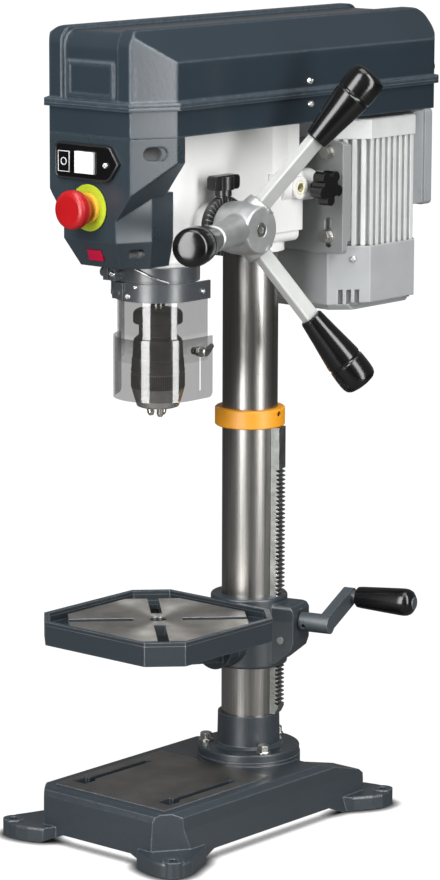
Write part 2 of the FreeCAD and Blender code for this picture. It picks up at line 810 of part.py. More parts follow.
def crank_grip():
    zw = worm_height()
    x0 = crank_grip_start()
    profile = [(4.3, 0), (crank_grip_r0 - 1.5, 0), (crank_grip_r0, 2), (crank_grip_r1, crank_grip_len - 8)]
    profile += [(crank_grip_r1 - 0.6, crank_grip_len - 3), (crank_grip_r1 - 3, crank_grip_len)]
    profile += [(4.3, crank_grip_len)]
    grip = turned(profile)
    grip.rotate(FreeCAD.Vector(0, 0, 0), FreeCAD.Vector(0, 1, 0), 90)
    grip.translate(FreeCAD.Vector(x0, crank_len, zw))
    return crank_frame(grip)


# Head

def head_casting():
    block = box(-head_half_w + 2, head_half_w - 2, spindle_y, head_back_y - 8, head_bottom, head_top)
    edges = [e for e in block.Edges if e.BoundBox.YLength > 50 and e.BoundBox.ZMax < head_bottom + 1]
    block = block.makeFillet(8.0, edges)
    nose = rod(nose_r, (0, spindle_y, nose_bottom), (0, spindle_y, head_top))
    front = rod(head_half_w - 2, (0, spindle_y, head_bottom - 5), (0, spindle_y, head_top))
    neck = rod(neck_r, (0, column_y, neck_bottom), (0, column_y, head_top))
    rear = rod(rear_boss_r, (0, column_y, rear_boss_bottom), (0, column_y, head_top))
    shoulder = box(-rear_boss_r, rear_boss_r, column_y - 20, head_back_y, rear_boss_bottom, rod_z + 17)
    shoulder = shoulder.makeFillet(6.0, [e for e in shoulder.Edges if e.BoundBox.ZLength > 20
                                         and e.BoundBox.YMin > column_y])
    parts = [block, nose, front, neck, rear, shoulder]
    for x in (-rod_x, rod_x):
        parts.append(rod(rod_boss_r, (x, column_y, rod_z), (x, rod_boss_y, rod_z)))
    feed_boss = rod(24.0, (0, feed_y, feed_z), (scale_start_x - free_gap, feed_y, feed_z))
    spring_boss = rod(22.0, (0, feed_y, feed_z), (-head_half_w - 1, feed_y, feed_z))
    bush_boss = rod(12.0, (20, bush_hole_y, rod_z), (bush_face_x, bush_hole_y, rod_z))
    parts += [feed_boss, spring_boss, bush_boss]
    body = fuse(parts)
    tools = [rod(quill_r + running_gap, (0, spindle_y, nose_bottom - 1), (0, spindle_y, quill_top + 1.5))]
    tools.append(rod(drive_sleeve_r + 3, (0, spindle_y, quill_top), (0, spindle_y, head_top + 1)))
    tools.append(rod(column_r + running_gap, (0, column_y, neck_bottom - 1), (0, column_y, column_top + 1)))
    tools.append(rod(feed_bore_r, (-12.5, feed_y, feed_z), (head_half_w + 20, feed_y, feed_z)))
    tools.append(rod(feed_tail_r + running_gap, (-head_half_w - 10, feed_y, feed_z), (0, feed_y, feed_z)))
    rod_end = column_y + rod_boss_r
    for x in (-rod_x, rod_x):
        tools.append(rod(rod_r + running_gap, (x, rod_end - 25, rod_z), (x, rod_boss_y + 1, rod_z)))
    tools.append(rod(bush_hole_r, (33, bush_hole_y, rod_z), (bush_face_x + 3, bush_hole_y, rod_z)))
    tools.append(rod(3.2, (rod_x, tension_y, rod_z), (rod_x + 30, tension_y, rod_z)))
    for z in head_clamp_heights():
        tools.append(rod(5.0, (-column_r + 3, column_y, z), (-head_half_w - 5, column_y, z)))
    pocket = box(-28, 28, spindle_y + 50, column_y - 42, head_bottom + 12, head_top + 1)
    tools.append(pocket.cut(rod(19.0, (-50, feed_y, feed_z), (50, feed_y, feed_z))))
    return cut(body, tools)


def feed_pinion():
    gear = gear_solid(feed_module, feed_teeth, 24.0, 0.0)
    gear.rotate(FreeCAD.Vector(0, 0, 0), FreeCAD.Vector(0, 0, 1), 90)
    gear.translate(FreeCAD.Vector(0, feed_y, feed_z))
    front = rod(feed_bore_r - running_gap, (15.6, feed_y, feed_z), (scale_start_x - 2, feed_y, feed_z))
    core = rod(10.5, (11.0, feed_y, feed_z), (16.0, feed_y, feed_z))
    stub = rod(11.0, (scale_start_x - 3, feed_y, feed_z), (hub_start_x + 30, feed_y, feed_z))
    tail = rod(feed_tail_r, (-head_half_w - 14, feed_y, feed_z), (-11.0, feed_y, feed_z))
    tail = tail.cut(box(-head_half_w - 20, -head_half_w - 4, feed_y - 0.8, feed_y + 0.8, 640, 680))
    body = fuse([gear, core, front, stub, tail])
    return body.cut(rod(3.4, (hub_start_x + 10, feed_y, feed_z), (hub_start_x + 40, feed_y, feed_z)))


def spoke_direction(k):
    lean = math.radians(spoke_lean)
    turn = math.radians(first_spoke + 120.0 * k)
    return FreeCAD.Vector(math.sin(lean), math.cos(lean) * math.cos(turn), math.cos(lean) * math.sin(turn))


def along_spoke(k, distance):
    apex = FreeCAD.Vector(spoke_apex_x, feed_y, feed_z)
    return apex + spoke_direction(k) * distance


def on_spoke(shape, k, distance):
    # Shapes for a spoke are drawn along +Z with their flat side facing +X.
    direction = spoke_direction(k)
    lean = math.radians(spoke_lean)
    turn = math.radians(first_spoke + 120.0 * k)
    flat = FreeCAD.Vector(math.cos(lean), -math.sin(lean) * math.cos(turn), -math.sin(lean) * math.sin(turn))
    side = direction.cross(flat)
    start = along_spoke(k, distance)
    placed = shape.copy()
    placed.Placement = FreeCAD.Placement(FreeCAD.Matrix(
        flat.x, side.x, direction.x, start.x,
        flat.y, side.y, direction.y, start.y,
        flat.z, side.z, direction.z, start.z,
        0, 0, 0, 1))
    return placed


def feed_hub():
    waist_x = hub_start_x + 9
    widest_x = hub_end_x - 18
    core = fuse([taper(hub_r - 2, hub_r + 2, (hub_start_x, feed_y, feed_z), (waist_x, feed_y, feed_z)),
                 taper(hub_r + 2, hub_r + 3, (waist_x, feed_y, feed_z), (widest_x, feed_y, feed_z)),
                 taper(hub_r + 3, hub_face_r, (widest_x, feed_y, feed_z), (hub_end_x, feed_y, feed_z))])
    bosses = []
    for k in range(3):
        tip = along_spoke(k, hub_boss_len)
        bosses.append(rod(hub_boss_r, (spoke_apex_x, feed_y, feed_z), tuple(tip)))
    body = fuse([core] + bosses)
    body = body.common(box(hub_start_x, hub_end_x, -200, 200, 500, 800))
    tools = [rod(11.0, (hub_start_x - 1, feed_y, feed_z), (hub_start_x + 30, feed_y, feed_z))]
    tools.append(rod(3.6, (hub_start_x, feed_y, feed_z), (hub_end_x + 1, feed_y, feed_z)))
    tools.append(rod(7.2, (hub_end_x - 8, feed_y, feed_z), (hub_end_x + 1, feed_y, feed_z)))
    for k in range(3):
        tools.append(on_spoke(spoke_blank(hub_boss_len + 10 - spoke_start), k, spoke_start))
    return cut(body, tools)


def spoke_blank(length):
    bar = box(-spoke_t / 2, spoke_t / 2, -spoke_w / 2, spoke_w / 2, 0, length)
    return bar.makeFillet(2.0, [e for e in bar.Edges if e.BoundBox.ZLength > length - 1])


def feed_spokes():
    tail = rod(5.0, (0, 0, 0), (0, 0, 60))
    tail.translate(FreeCAD.Vector(0, 0, grip_start - spoke_start - 1))
    spoke = fuse([spoke_blank(grip_start - spoke_start), tail])
    return [on_spoke(spoke, k, spoke_start) for k in range(3)]


def feed_grips():
    length = grip_end - grip_start
    profile = [(0, 0), (grip_root_r - 1, 0), (grip_root_r, 2), (grip_max_r - 2.6, length * 0.45)]
    profile += [(grip_max_r - 0.6, length * 0.64), (grip_max_r - 1.4, length * 0.655)]
    profile += [(grip_max_r - 1.4, length * 0.675), (grip_max_r - 0.3, length * 0.69)]
    profile += [(grip_max_r, length * 0.84), (grip_max_r - 0.8, length * 0.94)]
    profile += [(grip_tip_r, length * 0.985), (grip_tip_r - 3.5, length), (0, length)]
    grip = turned(profile).cut(rod(5.0, (0, 0, -1), (0, 0, 60)))
    return [on_spoke(grip, k, grip_start) for k in range(3)]


def hub_screw():
    head = rod(7.0, (hub_end_x - 8, feed_y, feed_z), (hub_end_x - 0.5, feed_y, feed_z))
    shank = rod(3.3, (hub_start_x + 12, feed_y, feed_z), (hub_end_x - 7, feed_y, feed_z))
    socket = hex_prism(6.0, (hub_end_x - 5, feed_y, feed_z), (hub_end_x, feed_y, feed_z))
    return fuse([head, shank]).cut(socket)


def depth_ring():
    body = rod(scale_r, (scale_start_x, feed_y, feed_z), (scale_end_x, feed_y, feed_z))
    boss = rod(8.0, (middle_of_scale(), feed_y, feed_z), (middle_of_scale(), feed_y, feed_z + 31.5))
    body = fuse([body, boss]).common(box(scale_start_x, scale_end_x, -200, 200, 500, 800))
    tools = [rod(11.0 + free_gap, (0, feed_y, feed_z), (100, feed_y, feed_z))]
    tools.append(rod(4.0, (middle_of_scale(), feed_y, feed_z), (middle_of_scale(), feed_y, feed_z + 60)))
    return cut(body, tools)


def middle_of_scale():
    return (scale_start_x + scale_end_x) / 2


def depth_knob():
    x = middle_of_scale()
    stem = rod(3.8, (x, feed_y, feed_z + 14), (x, feed_y, feed_z + 36))
    skirt = taper(8.8, 8.2, (x, feed_y, feed_z + 31.8), (x, feed_y, feed_z + 42))
    wing = box(x - 6.0, x + 6.0, feed_y - 19, feed_y + 19, feed_z + 38, feed_z + 53)
    wing = wing.makeFillet(4.0, [e for e in wing.Edges if e.BoundBox.XLength > 10])
    waist = rod(11.0, (x, feed_y, feed_z + 38), (x, feed_y, feed_z + 52))
    return fuse([stem, skirt, wing, waist])


def return_spring():
    # A flat clock spring wound between the pinion tail and its cup.
    strips = []
    x0 = -head_half_w - 13.0
    turns = 5
    for k in range(turns):
        r = feed_tail_r + 0.6 + k * 2.4
        strips.append(ring(r + 0.9, r, (x0, feed_y, feed_z), (x0 + 9, feed_y, feed_z)))
    outer_r = feed_tail_r + 0.6 + (turns - 1) * 2.4 + 0.9
    link = box(x0, x0 + 9, feed_y - 0.4, feed_y + 0.4, feed_z + feed_tail_r + 0.6, feed_z + outer_r)
    return fuse(strips + [link])


def spring_cup():
    x1 = -head_half_w - 1.0
    x0 = x1 - 17.0
    body = rod(24.0, (x0, feed_y, feed_z), (x1, feed_y, feed_z))
    body = body.makeFillet(2.5, [e for e in body.Edges if e.BoundBox.XMax < x0 + 0.1])
    tools = [rod(21.5, (x0 + 2.5, feed_y, feed_z), (x1 + 1, feed_y, feed_z))]
    tools.append(rod(3.0, (x0 - 1, feed_y, feed_z), (x0 + 3, feed_y, feed_z)))
    for k in range(4):
        notch = box(x0 - 1, x0 + 6, feed_y - 2, feed_y + 2, feed_z + 21, feed_z + 26)
        tools.append(spun(notch, (0, feed_y, feed_z), (1, 0, 0), 90 * k + 45))
    return cut(body, tools)


# Quill, spindle and chuck

def quill():
    body = ring(quill_r, spindle_r + 2.0, (0, spindle_y, quill_bottom), (0, spindle_y, quill_top))
    tools = [rod(17.5, (0, spindle_y, quill_bottom - 1), (0, spindle_y, quill_bottom + 16))]
    tools.append(rod(17.5, (0, spindle_y, quill_top - 13), (0, spindle_y, quill_top + 1)))
    pitch = math.pi * feed_module
    depth = 2.3 * feed_module
    face = quill_pitch_y + feed_module
    tools.append(box(-16, 16, face, face + 20, feed_z - 12, quill_top + 1))
    gaps = []
    z = feed_z - 2 * pitch
    while z < quill_top - pitch:
        gap = [(face + 1, z - 0.46 * pitch), (face + 1, z + 0.46 * pitch)]
        gap += [(face - depth, z + 0.24 * pitch), (face - depth, z - 0.24 * pitch)]
        gaps.append(prism(gap, "x", -16, 16))
        z += pitch
    tools.append(Part.makeCompound(gaps))
    tools.append(box(-3, 3, spindle_y - quill_r - 1, spindle_y - quill_r + 3, quill_bottom + 40, quill_top + 1))
    return cut(body, tools)


def quill_bearings():
    solids = []
    for z0, z1 in ((quill_bottom + 2, quill_bottom + 16), (quill_top - 13, quill_top - 1)):
        race = ring(17.5, 15.0, (0, spindle_y, z0), (0, spindle_y, z1))
        seal = ring(15.0, spindle_r + running_gap, (0, spindle_y, z0 + 1), (0, spindle_y, z1 - 1))
        solids.append(fuse([race, seal]))
    return solids


def spindle():
    nose = rod(spindle_r - 2.5, (0, spindle_y, chuck_top - 20), (0, spindle_y, quill_bottom + 1))
    shaft = rod(spindle_r, (0, spindle_y, quill_bottom - 2), (0, spindle_y, quill_top + 2))
    lip = rod(14.0, (0, spindle_y, quill_bottom - 3), (0, spindle_y, quill_bottom + 1))
    upper = rod(spline_r, (0, spindle_y, quill_top), (0, spindle_y, spindle_top))
    splines = []
    for k in range(6):
        key = box(spline_r - 1.5, spline_r + 1, spindle_y - 1, spindle_y + 1, quill_top, spindle_top)
        key = key.cut(box(spline_r - 1.3, spline_r + 5, -200, 200, 0, quill_top))
        splines.append(spun(key, (0, spindle_y, 0), (0, 0, 1), 60 * k))
    splines = [s.cut(box(-50, 50, -200, 200, 0, quill_top + 2)) for s in splines]
    return fuse([nose, shaft, lip, upper] + splines)


def jaw_axis(k):
    turn = math.radians(90.0 + 120.0 * k)
    lean = math.radians(jaw_lean)
    tip = FreeCAD.Vector(jaw_tip_offset * math.cos(turn), spindle_y + jaw_tip_offset * math.sin(turn),
                         jaw_tip_z)
    way = FreeCAD.Vector(math.sin(lean) * math.cos(turn), math.sin(lean) * math.sin(turn),
                         math.cos(lean))
    return tip, way


def chuck_jaw(k):
    tip, way = jaw_axis(k)
    body = Part.makeCylinder(jaw_r, jaw_len, tip, way)
    point = Part.makeCone(jaw_r - 1.6, jaw_r, 3.0, tip, way)
    return body.common(point.fuse(Part.makeCylinder(jaw_r, jaw_len, tip + way * 3.0, way)))


def chuck_body():
    profile = [(0, sleeve_end_z - 1), (chuck_core_r - 1.5, sleeve_end_z - 1)]
    profile += [(chuck_core_r, sleeve_end_z + 1), (chuck_core_r, sleeve_top + free_gap)]
    profile += [(chuck_body_r + 0.7, sleeve_top + free_gap), (chuck_body_r, 531), (chuck_body_r, 534)]
    profile += [(chuck_body_r - 0.7, 535), (chuck_body_r - 0.7, 536.5), (chuck_neck_r, chuck_neck_bottom)]
    profile += [(chuck_neck_r, chuck_ring_bottom), (chuck_ring_r - 1, chuck_ring_bottom)]
    profile += [(chuck_ring_r, chuck_ring_bottom + 1.5), (chuck_ring_r, chuck_top - 4)]
    profile += [(chuck_ring_r - 4, chuck_top), (0, chuck_top)]
    body = turned(profile, (0, spindle_y))
    tools = [rod(spindle_r - 2.5, (0, spindle_y, chuck_top - 20), (0, spindle_y, chuck_top + 1))]
    for k in range(3):
        tip, way = jaw_axis(k)
        tools.append(Part.makeCylinder(jaw_r + free_gap, jaw_bore_len, tip, way))
    for k in range(6):
        pocket = rod(3.0, (chuck_neck_r - 3, spindle_y, 547), (chuck_neck_r + 2, spindle_y, 547))
        tools.append(spun(pocket, (0, spindle_y, 0), (0, 0, 1), 60 * k + 10))
    throat_hole = rod(4.0, (0, spindle_y, 400), (0, spindle_y, sleeve_top + 10))
    tools.append(throat_hole)
    return cut(body, tools)


def chuck_sleeve():
    inner = chuck_core_r + free_gap
    profile = [(inner, sleeve_end_z), (sleeve_end_r, sleeve_end_z), (sleeve_r - 0.6, sleeve_cone_z)]
    profile += [(sleeve_r, sleeve_cone_z + 1), (sleeve_r, sleeve_top - 12)]
    profile += [(sleeve_r - 0.8, sleeve_top - 11), (sleeve_r - 1.2, sleeve_top), (inner, sleeve_top)]
    body = turned(profile, (0, spindle_y))
    groove = box(sleeve_r - 0.4, sleeve_r + 1, spindle_y - 0.5, spindle_y + 0.5,
                 sleeve_cone_z + 2, sleeve_top - 13)
    count = 36
    grooves = [spun(groove, (0, spindle_y, 0), (0, 0, 1), 360.0 * k / count) for k in range(count)]
    return body.cut(Part.makeCompound(grooves))


# Belt housing and lid

def cover_outline(inset):
    # Plan of the cover: a narrow nose that flares to the full width, with rounded rear corners.
    points = [(-cover_front_half, cover_front_y), (cover_front_half, cover_front_y)]
    points += [(cover_half, cover_flare_y), (cover_half, cover_back_y)]
    points += [(-cover_half, cover_back_y), (-cover_half, cover_flare_y)]
    block = prism(points, "z", 0, 10)
    edges = [e for e in block.Edges if e.BoundBox.ZLength > 9 and e.BoundBox.YMin > cover_back_y - 1]
    block = block.makeFillet(cover_corner_r, edges)
    bottom = [f for f in block.Faces if f.BoundBox.ZMax < 0.1][0]
    wire = bottom.OuterWire
    if inset:
        wire = wire.makeOffset2D(-inset, 2)
    return Part.Face(wire)


def cover_prism(inset, low, high):
    face = cover_outline(inset)
    face.translate(FreeCAD.Vector(0, 0, low))
    return face.extrude(FreeCAD.Vector(0, 0, high - low))


def belt_housing():
    wall_top = flange_split
    outer = cover_prism(0, cover_floor, wall_top)
    flange = cover_prism(-flange_out, flange_bottom, wall_top)
    inner = cover_prism(cover_wall, cover_floor + cover_wall, wall_top + 1)
    body = outer.fuse(flange).cut(inner)
    knuckles = []
    for y in hinge_places():
        knuckles.append(rod(hinge_r, (hinge_x, y, flange_split), (hinge_x, y + hinge_len / 2, flange_split)))
        web = box(hinge_x, -cover_half - 1, y, y + hinge_len / 2, flange_bottom, flange_split - free_gap)
        knuckles.append(web)
        knuckles.append(rod(hinge_pin_r, (hinge_x, y - hinge_len / 2 + 1, flange_split),
                            (hinge_x, y + 2, flange_split)))
    body = body.fuse(knuckles)
    tools = [rod(drive_sleeve_r + 5, (0, spindle_y, 700), (0, spindle_y, 770))]
    slot_y = motor_y - 14.0
    tools.append(rod(14.0, (0, motor_y, 700), (0, motor_y, 770)))
    tools.append(rod(14.0, (0, slot_y, 700), (0, slot_y, 770)))
    tools.append(box(-14, 14, slot_y, motor_y, 700, 770))
    for y in hinge_places():
        tools.append(box(hinge_x - hinge_r - 1, -cover_half - flange_out + 0.6, y - hinge_len / 2 - 1,
                         y - 0.5, flange_bottom - 8, flange_split - hinge_pin_r - 1.5))
    return cut(body, tools)


def hinge_places():
    return (-30.0, 190.0)


def lid_side_profile(inset):
    # The lid seen from the side: a rounded front edge and a longer rounded back edge.
    f = cover_front_y + inset
    b = cover_back_y - inset
    t = lid_top - inset
    r = lid_front_r
    points = [(f, flange_split - 1), (f, t - r)]
    for k in range(1, 8):
        a = math.radians(90.0 * k / 8)
        points.append((f + r - r * math.cos(a), t - r + r * math.sin(a)))
    points += [(f + r, t), (b - lid_back_run, t)]
    for k in range(1, 8):
        a = math.radians(90.0 * k / 8)
        points.append((b - lid_back_run + lid_back_run * math.sin(a),
                       t - lid_back_drop + lid_back_drop * math.cos(a)))
    points += [(b, t - lid_back_drop), (b, flange_split - 1)]
    return points


def lid_end_profile(inset):
    half = cover_half - inset
    top_half = lid_top_half - inset * 0.7
    t = lid_top - inset
    points = [(half, flange_split - 1), (half, lid_shoulder_z - inset * 0.4), (top_half + 2, t - 1.2)]
    points += [(top_half - 1, t)]
    return points + [(-x, z) for x, z in reversed(points)]


def lid_solid(inset, low):
    body = cover_prism(inset, low, lid_top + 1)
    body = body.common(prism(lid_side_profile(inset), "x", -cover_half - 9, cover_half + 9))
    return body.common(prism(lid_end_profile(inset), "y", cover_front_y - 9, cover_back_y + 9))


def belt_lid():
    low = flange_split + free_gap
    outer = lid_solid(0, low)
    recess_tool = prism(lid_side_profile(0), "x", -rail_inner_x, rail_inner_x)
    recess_keep = prism(lid_side_profile(rail_height), "x", -rail_inner_x - 1, rail_inner_x + 1)
    keep_back = box(-90, 90, cover_back_y - 30, cover_back_y + 5, flange_bottom,
                    lid_top - lid_back_drop - 2)
    recess = recess_tool.cut(recess_keep).cut(keep_back)
    recess = recess.cut(box(-90, 90, cover_front_y - 9, cover_back_y + 9, flange_bottom - 50, flange_top))
    outer = outer.cut(recess)
    flange = cover_prism(-flange_out, low, flange_top)
    inner = lid_solid(rail_height + cover_wall, flange_split - 2)
    inner_low = cover_prism(cover_wall, flange_split - 2, lid_shoulder_z - 4)
    inner_low = inner_low.common(box(-90, 90, cover_front_y + rail_height + cover_wall, cover_back_y + 9,
                                     flange_bottom - 50, lid_top + 50))
    body = outer.fuse(flange).cut(inner).cut(inner_low)
    badge = [(cover_front_y + rail_height + 1, 794.5), (cover_front_y + rail_height - 1.5, 795.5)]
    badge += [(cover_front_y + rail_height - 1.5, 831.0), (cover_front_y + rail_height + 1, 833.0)]
    plate = prism(badge, "x", -33.0, 30.0)
    field = box(-29, 26, cover_front_y + rail_height - 3, cover_front_y + rail_height - 1.0, 799, 828)
    body = body.fuse(plate.cut(field))
    knuckles = []
    for y in hinge_places():
        knuckle = rod(hinge_r, (hinge_x, y - hinge_len / 2, flange_split), (hinge_x, y - free_gap, flange_split))
        web = box(hinge_x, -cover_half - 1, y - hinge_len / 2, y - free_gap, low, flange_top)
        knuckles.append(knuckle.fuse(web).cut(rod(hinge_pin_r + 0.1, (hinge_x, -300, flange_split),
                                                  (hinge_x, 400, flange_split))))
    body = body.fuse(knuckles)
    clear = []
    for y in hinge_places():
        clear.append(rod(hinge_r + 0.4, (hinge_x, y - 0.1, flange_split),
                         (hinge_x, y + hinge_len / 2 + 0.4, flange_split)))
    clear.append(rod(3.0, (lid_knob_x(), cover_back_y - 12, lid_knob_z()),
                     (lid_knob_x(), cover_back_y + 9, lid_knob_z())))
    return cut(body, clear)


def lid_knob_x():
    return cover_half - cover_corner_r - 4.0


def lid_knob_z():
    return flange_top + 8.0


def lid_knob():
    x = lid_knob_x()
    z = lid_knob_z()
    face = cover_back_y + 0.4
    head = rod(6.0, (x, face, z), (x, face + 9, z))
    head = head.makeChamfer(1.0, [e for e in head.Edges if e.BoundBox.YMin > face + 8.9])
    shank = rod(2.7, (x, face - 9, z), (x, face + 1, z))
    return fuse([head, shank])


# Belt drive

def groove_z(level):
    return first_groove_z + level * pulley_pitch


def stepped_pulley(steps, bore, bottom, hub_r_low, centre_y):
    # Every step carries one V groove; the belts run in any pair at the same level.
    profile = [(bore, bottom), (hub_r_low, bottom), (hub_r_low, first_groove_z - pulley_pitch / 2)]
    for level, r in enumerate(steps):
        z = groove_z(level)
        floor_half = groove_half - groove_slope * groove_depth
        profile += [(r, z - pulley_pitch / 2), (r, z - groove_half)]
        profile += [(r - groove_depth, z - floor_half), (r - groove_depth, z + floor_half)]
        profile += [(r, z + groove_half), (r, z + pulley_pitch / 2)]
    profile.append((bore, groove_z(len(steps) - 1) + pulley_pitch / 2))
    return turned(profile, (0, centre_y))


def spindle_pulley():
    sleeve_bore = spline_r + 1.0 + 0.4
    pulley = stepped_pulley(spindle_steps, drive_sleeve_r, cover_floor + 5, drive_sleeve_r + 6, spindle_y)
    sleeve = ring(drive_sleeve_r, sleeve_bore, (0, spindle_y, quill_top + 3),
                  (0, spindle_y, groove_z(3) + pulley_pitch / 2))
    bearing = ring(drive_sleeve_r + 2.6, drive_sleeve_r, (0, spindle_y, quill_top + 4),
                   (0, spindle_y, head_top - 2))
    return fuse([pulley, sleeve, bearing])


def idler_pulley():
    return stepped_pulley(idler_steps, idler_pin_r + running_gap, cover_floor + 8, idler_pin_r + 6, idler_y)


def idler_arm():
    z0 = cover_floor + cover_wall
    plate = prism([(-10, idler_y - 12), (12, idler_y - 12), (14, idler_y + 10), (-26, idler_y + 34),
                   (-44, idler_y + 30), (-42, idler_y + 16)], "z", z0, z0 + 4)
    pin = rod(idler_pin_r, (0, idler_y, z0), (0, idler_y, groove_z(3) + 5))
    pivot = rod(7.0, (-36, idler_y + 25, z0), (-36, idler_y + 25, z0 + 9))
    return fuse([plate, pin, pivot])


def motor_pulley():
    return stepped_pulley(motor_steps, motor_shaft_r, cover_floor + 5, motor_shaft_r + 6, motor_y)


def belt_face(y0, r0, y1, r1):
    # The area inside a belt that runs round two pulleys on the line x = 0.
    span = y1 - y0
    lean = math.asin((r0 - r1) / span)
    cosine = math.cos(lean)
    sine = math.sin(lean)
    a = FreeCAD.Vector(r0 * cosine, y0 + r0 * sine, 0)
    b = FreeCAD.Vector(r1 * cosine, y1 + r1 * sine, 0)
    c = FreeCAD.Vector(-r1 * cosine, y1 + r1 * sine, 0)
    d = FreeCAD.Vector(-r0 * cosine, y0 + r0 * sine, 0)
    far = Part.Arc(b, FreeCAD.Vector(0, y1 + r1, 0), c).toShape()
    near = Part.Arc(d, FreeCAD.Vector(0, y0 - r0, 0), a).toShape()
    return Part.Face(Part.Wire([Part.makeLine(a, b), far, Part.makeLine(c, d), near]))


def belt(y0, r0, y1, r1, level):
    layers = []
    for outer, inner, half in ((-0.5, 3.0, 4.7), (3.0, 7.0, 3.7)):
        face = belt_face(y0, r0 - outer, y1, r1 - outer).cut(belt_face(y0, r0 - inner, y1, r1 - inner))
        face.translate(FreeCAD.Vector(0, 0, groove_z(level) - half))
        layers.append(face.extrude(FreeCAD.Vector(0, 0, 2 * half)))
    return fuse(layers)


def drive_belts():
    front = belt(spindle_y, spindle_steps[0], idler_y, idler_steps[0], 0)
    rear = belt(idler_y, idler_steps[3], motor_y, motor_steps[3], 3)
    return [front, rear]


# Control panel

def panel_outline(sizes, inset):
    front_half, side_half, front_y, flare_y, back_y = sizes
    a = front_half - inset * 0.7
    b = side_half - inset
    points = [(-a, front_y + inset), (a, front_y + inset), (b, flare_y + inset * 0.3)]
    return points + [(b, back_y - inset), (-b, back_y - inset), (-b, flare_y + inset * 0.3)]


def panel_wire(sizes, inset, z):
    corners = [FreeCAD.Vector(x, y, z) for x, y in panel_outline(sizes, inset)]
    return Part.makePolygon(corners + corners[:1])


def below_flare(inset):
    # Everything outside the sloping facet that narrows the panel under its upper corners.
    front = FreeCAD.Vector(*panel_flare_front)
    normal = (FreeCAD.Vector(*panel_flare_high) - front).cross(FreeCAD.Vector(*panel_flare_low) - front)
    normal.normalize()
    block = box(-150, 150, -150, 150, 0, 150)
    start = front + normal * inset
    block.Placement = FreeCAD.Placement(start, FreeCAD.Rotation(FreeCAD.Vector(0, 0, 1), normal * -1))
    return block


def below_side(inset):
    x0, z0 = panel_side_low
    x1, z1 = panel_side_high
    run = x1 - x0
    rise = z1 - z0
    x0 -= inset
    x1 -= inset
    points = [(x1 + run, z1 + rise), (x0 - run * 2, z0 - rise * 2), (300, z0 - rise * 2)]
    return prism(points, "y", -300, 0)


def panel_solid(inset, low, high):
    # The panel is wide at the top and narrows to a straight lower box with a sloping chin.
    upper = prism(panel_outline(panel_upper, inset), "z", panel_chin_z, high)
    for tool in (below_flare(inset), below_side(inset)):
        upper = upper.cut(tool).cut(mirrored_x(tool))
    lower = prism(panel_outline(panel_lower, inset), "z", panel_chin_z, panel_side_low[1] + 4)
    chin = Part.makeLoft([panel_wire(panel_bottom, inset, low), panel_wire(panel_lower, inset, panel_chin_z)],
                         True, True)
    return fuse([upper, lower, chin])


def chin_slope():
    run = panel_bottom[2] - panel_lower[2]
    return math.degrees(math.atan2(run, panel_chin_z - panel_bottom_z))


def chin_y(z):
    share = (panel_chin_z - z) / (panel_chin_z - panel_bottom_z)
    return panel_lower[2] + share * (panel_bottom[2] - panel_lower[2])


def control_panel():
    outer = panel_solid(0, panel_bottom_z, cover_floor - 0.2)
    inner = panel_solid(panel_wall, panel_bottom_z + panel_wall, cover_floor + 1)
    body = outer.cut(inner)
    tools = [rod(head_half_w - 2 + hole_gap, (0, spindle_y, 590), (0, spindle_y, 770))]
    tools.append(box(-head_half_w - 0.5, head_half_w + 0.5, spindle_y - 20, 0, 590, 770))
    front = panel_upper[2]
    tools.append(box(-39, 19, front - 5, front + 10, switch_z - 15, switch_z + 13))
    tools.append(rod(11.2, (stop_x, front - 5, stop_z), (stop_x, front + 10, stop_z)))
    window = box(rocker_x - 10.5, rocker_x + 10.5, -5, 12, -6.5, 6.5)
    tools.append(chin_placed(window))
    for side in (-1, 1):
        oval = spun(recess(7.0, 12.0, 1.6), (0, 0, 0), (0, 0, 1), 61.0)
        oval.translate(FreeCAD.Vector(65.2, -155.5, 741.3))
        low = spun(recess(4.0, 9.0, 1.4), (0, 0, 0), (0, 0, 1), 62.0)
        low.translate(FreeCAD.Vector(39.0, -153.5, 638.3))
        if side < 0:
            oval = mirrored_x(oval)
            low = mirrored_x(low)
        tools += [oval, low]
    return cut(body, tools)


def recess(radius, length, depth):
    # A long round-ended pocket that starts at the origin and runs along +X.
    ends = [rod(radius, (x, -30, 0), (x, depth, 0)) for x in (0, length)]
    return fuse(ends + [box(0, length, -30, depth, -radius, radius)])


def chin_placed(shape):
    # Moves a shape drawn about the XZ origin onto the sloping lower face of the panel.
    moved = spun(shape, (0, 0, 0), (1, 0, 0), chin_slope())
    moved.translate(FreeCAD.Vector(0, chin_y(rocker_z), rocker_z))
    return moved


def switch_plate():
    front = panel_upper[2]
    z = switch_z
    outline = [(-44, z - 16), (-40, z - 19), (26, z - 19), (32, z - 16), (43, z), (32, z + 16)]
    outline += [(26, z + 18), (-40, z + 18), (-44, z + 15)]
    plate = prism(outline, "y", front - 4, front - 0.05)
    body = box(-38, 18, front - 2, front + 9, z - 14, z + 12)
    tools = [box(-39 + 1.5, -20, front - 6, front + 5, z - 12.5, z + 10.5)]
    tools.append(box(-15.0, 9.5, front - 6, front + 5, z - 12.5, z + 10.5))
    screw = taper(3.0, 2.0, (26, front - 4, z - 2), (26, front - 5.4, z - 2))
    tools.append(box(8, 11, front - 6, front + 5, z - 12.5, z + 10.5))
    return fuse([cut(fuse([plate, body]), tools), screw])


def push_button(x0, x1, z0, z1):
    front = panel_upper[2]
    cap = box(x0, x1, front - 7.5, front + 1.5, z0, z1)
    cap = cap.makeFillet(1.2, [e for e in cap.Edges if e.BoundBox.YMax < front - 7])
    return cap


def start_button():
    return push_button(-15.0 + free_gap, 11.0 - free_gap, switch_z - 12.2, switch_z + 10.2)


def stop_button():
    return push_button(-37.5 + free_gap, -20 - free_gap, switch_z - 12.2, switch_z + 10.2)


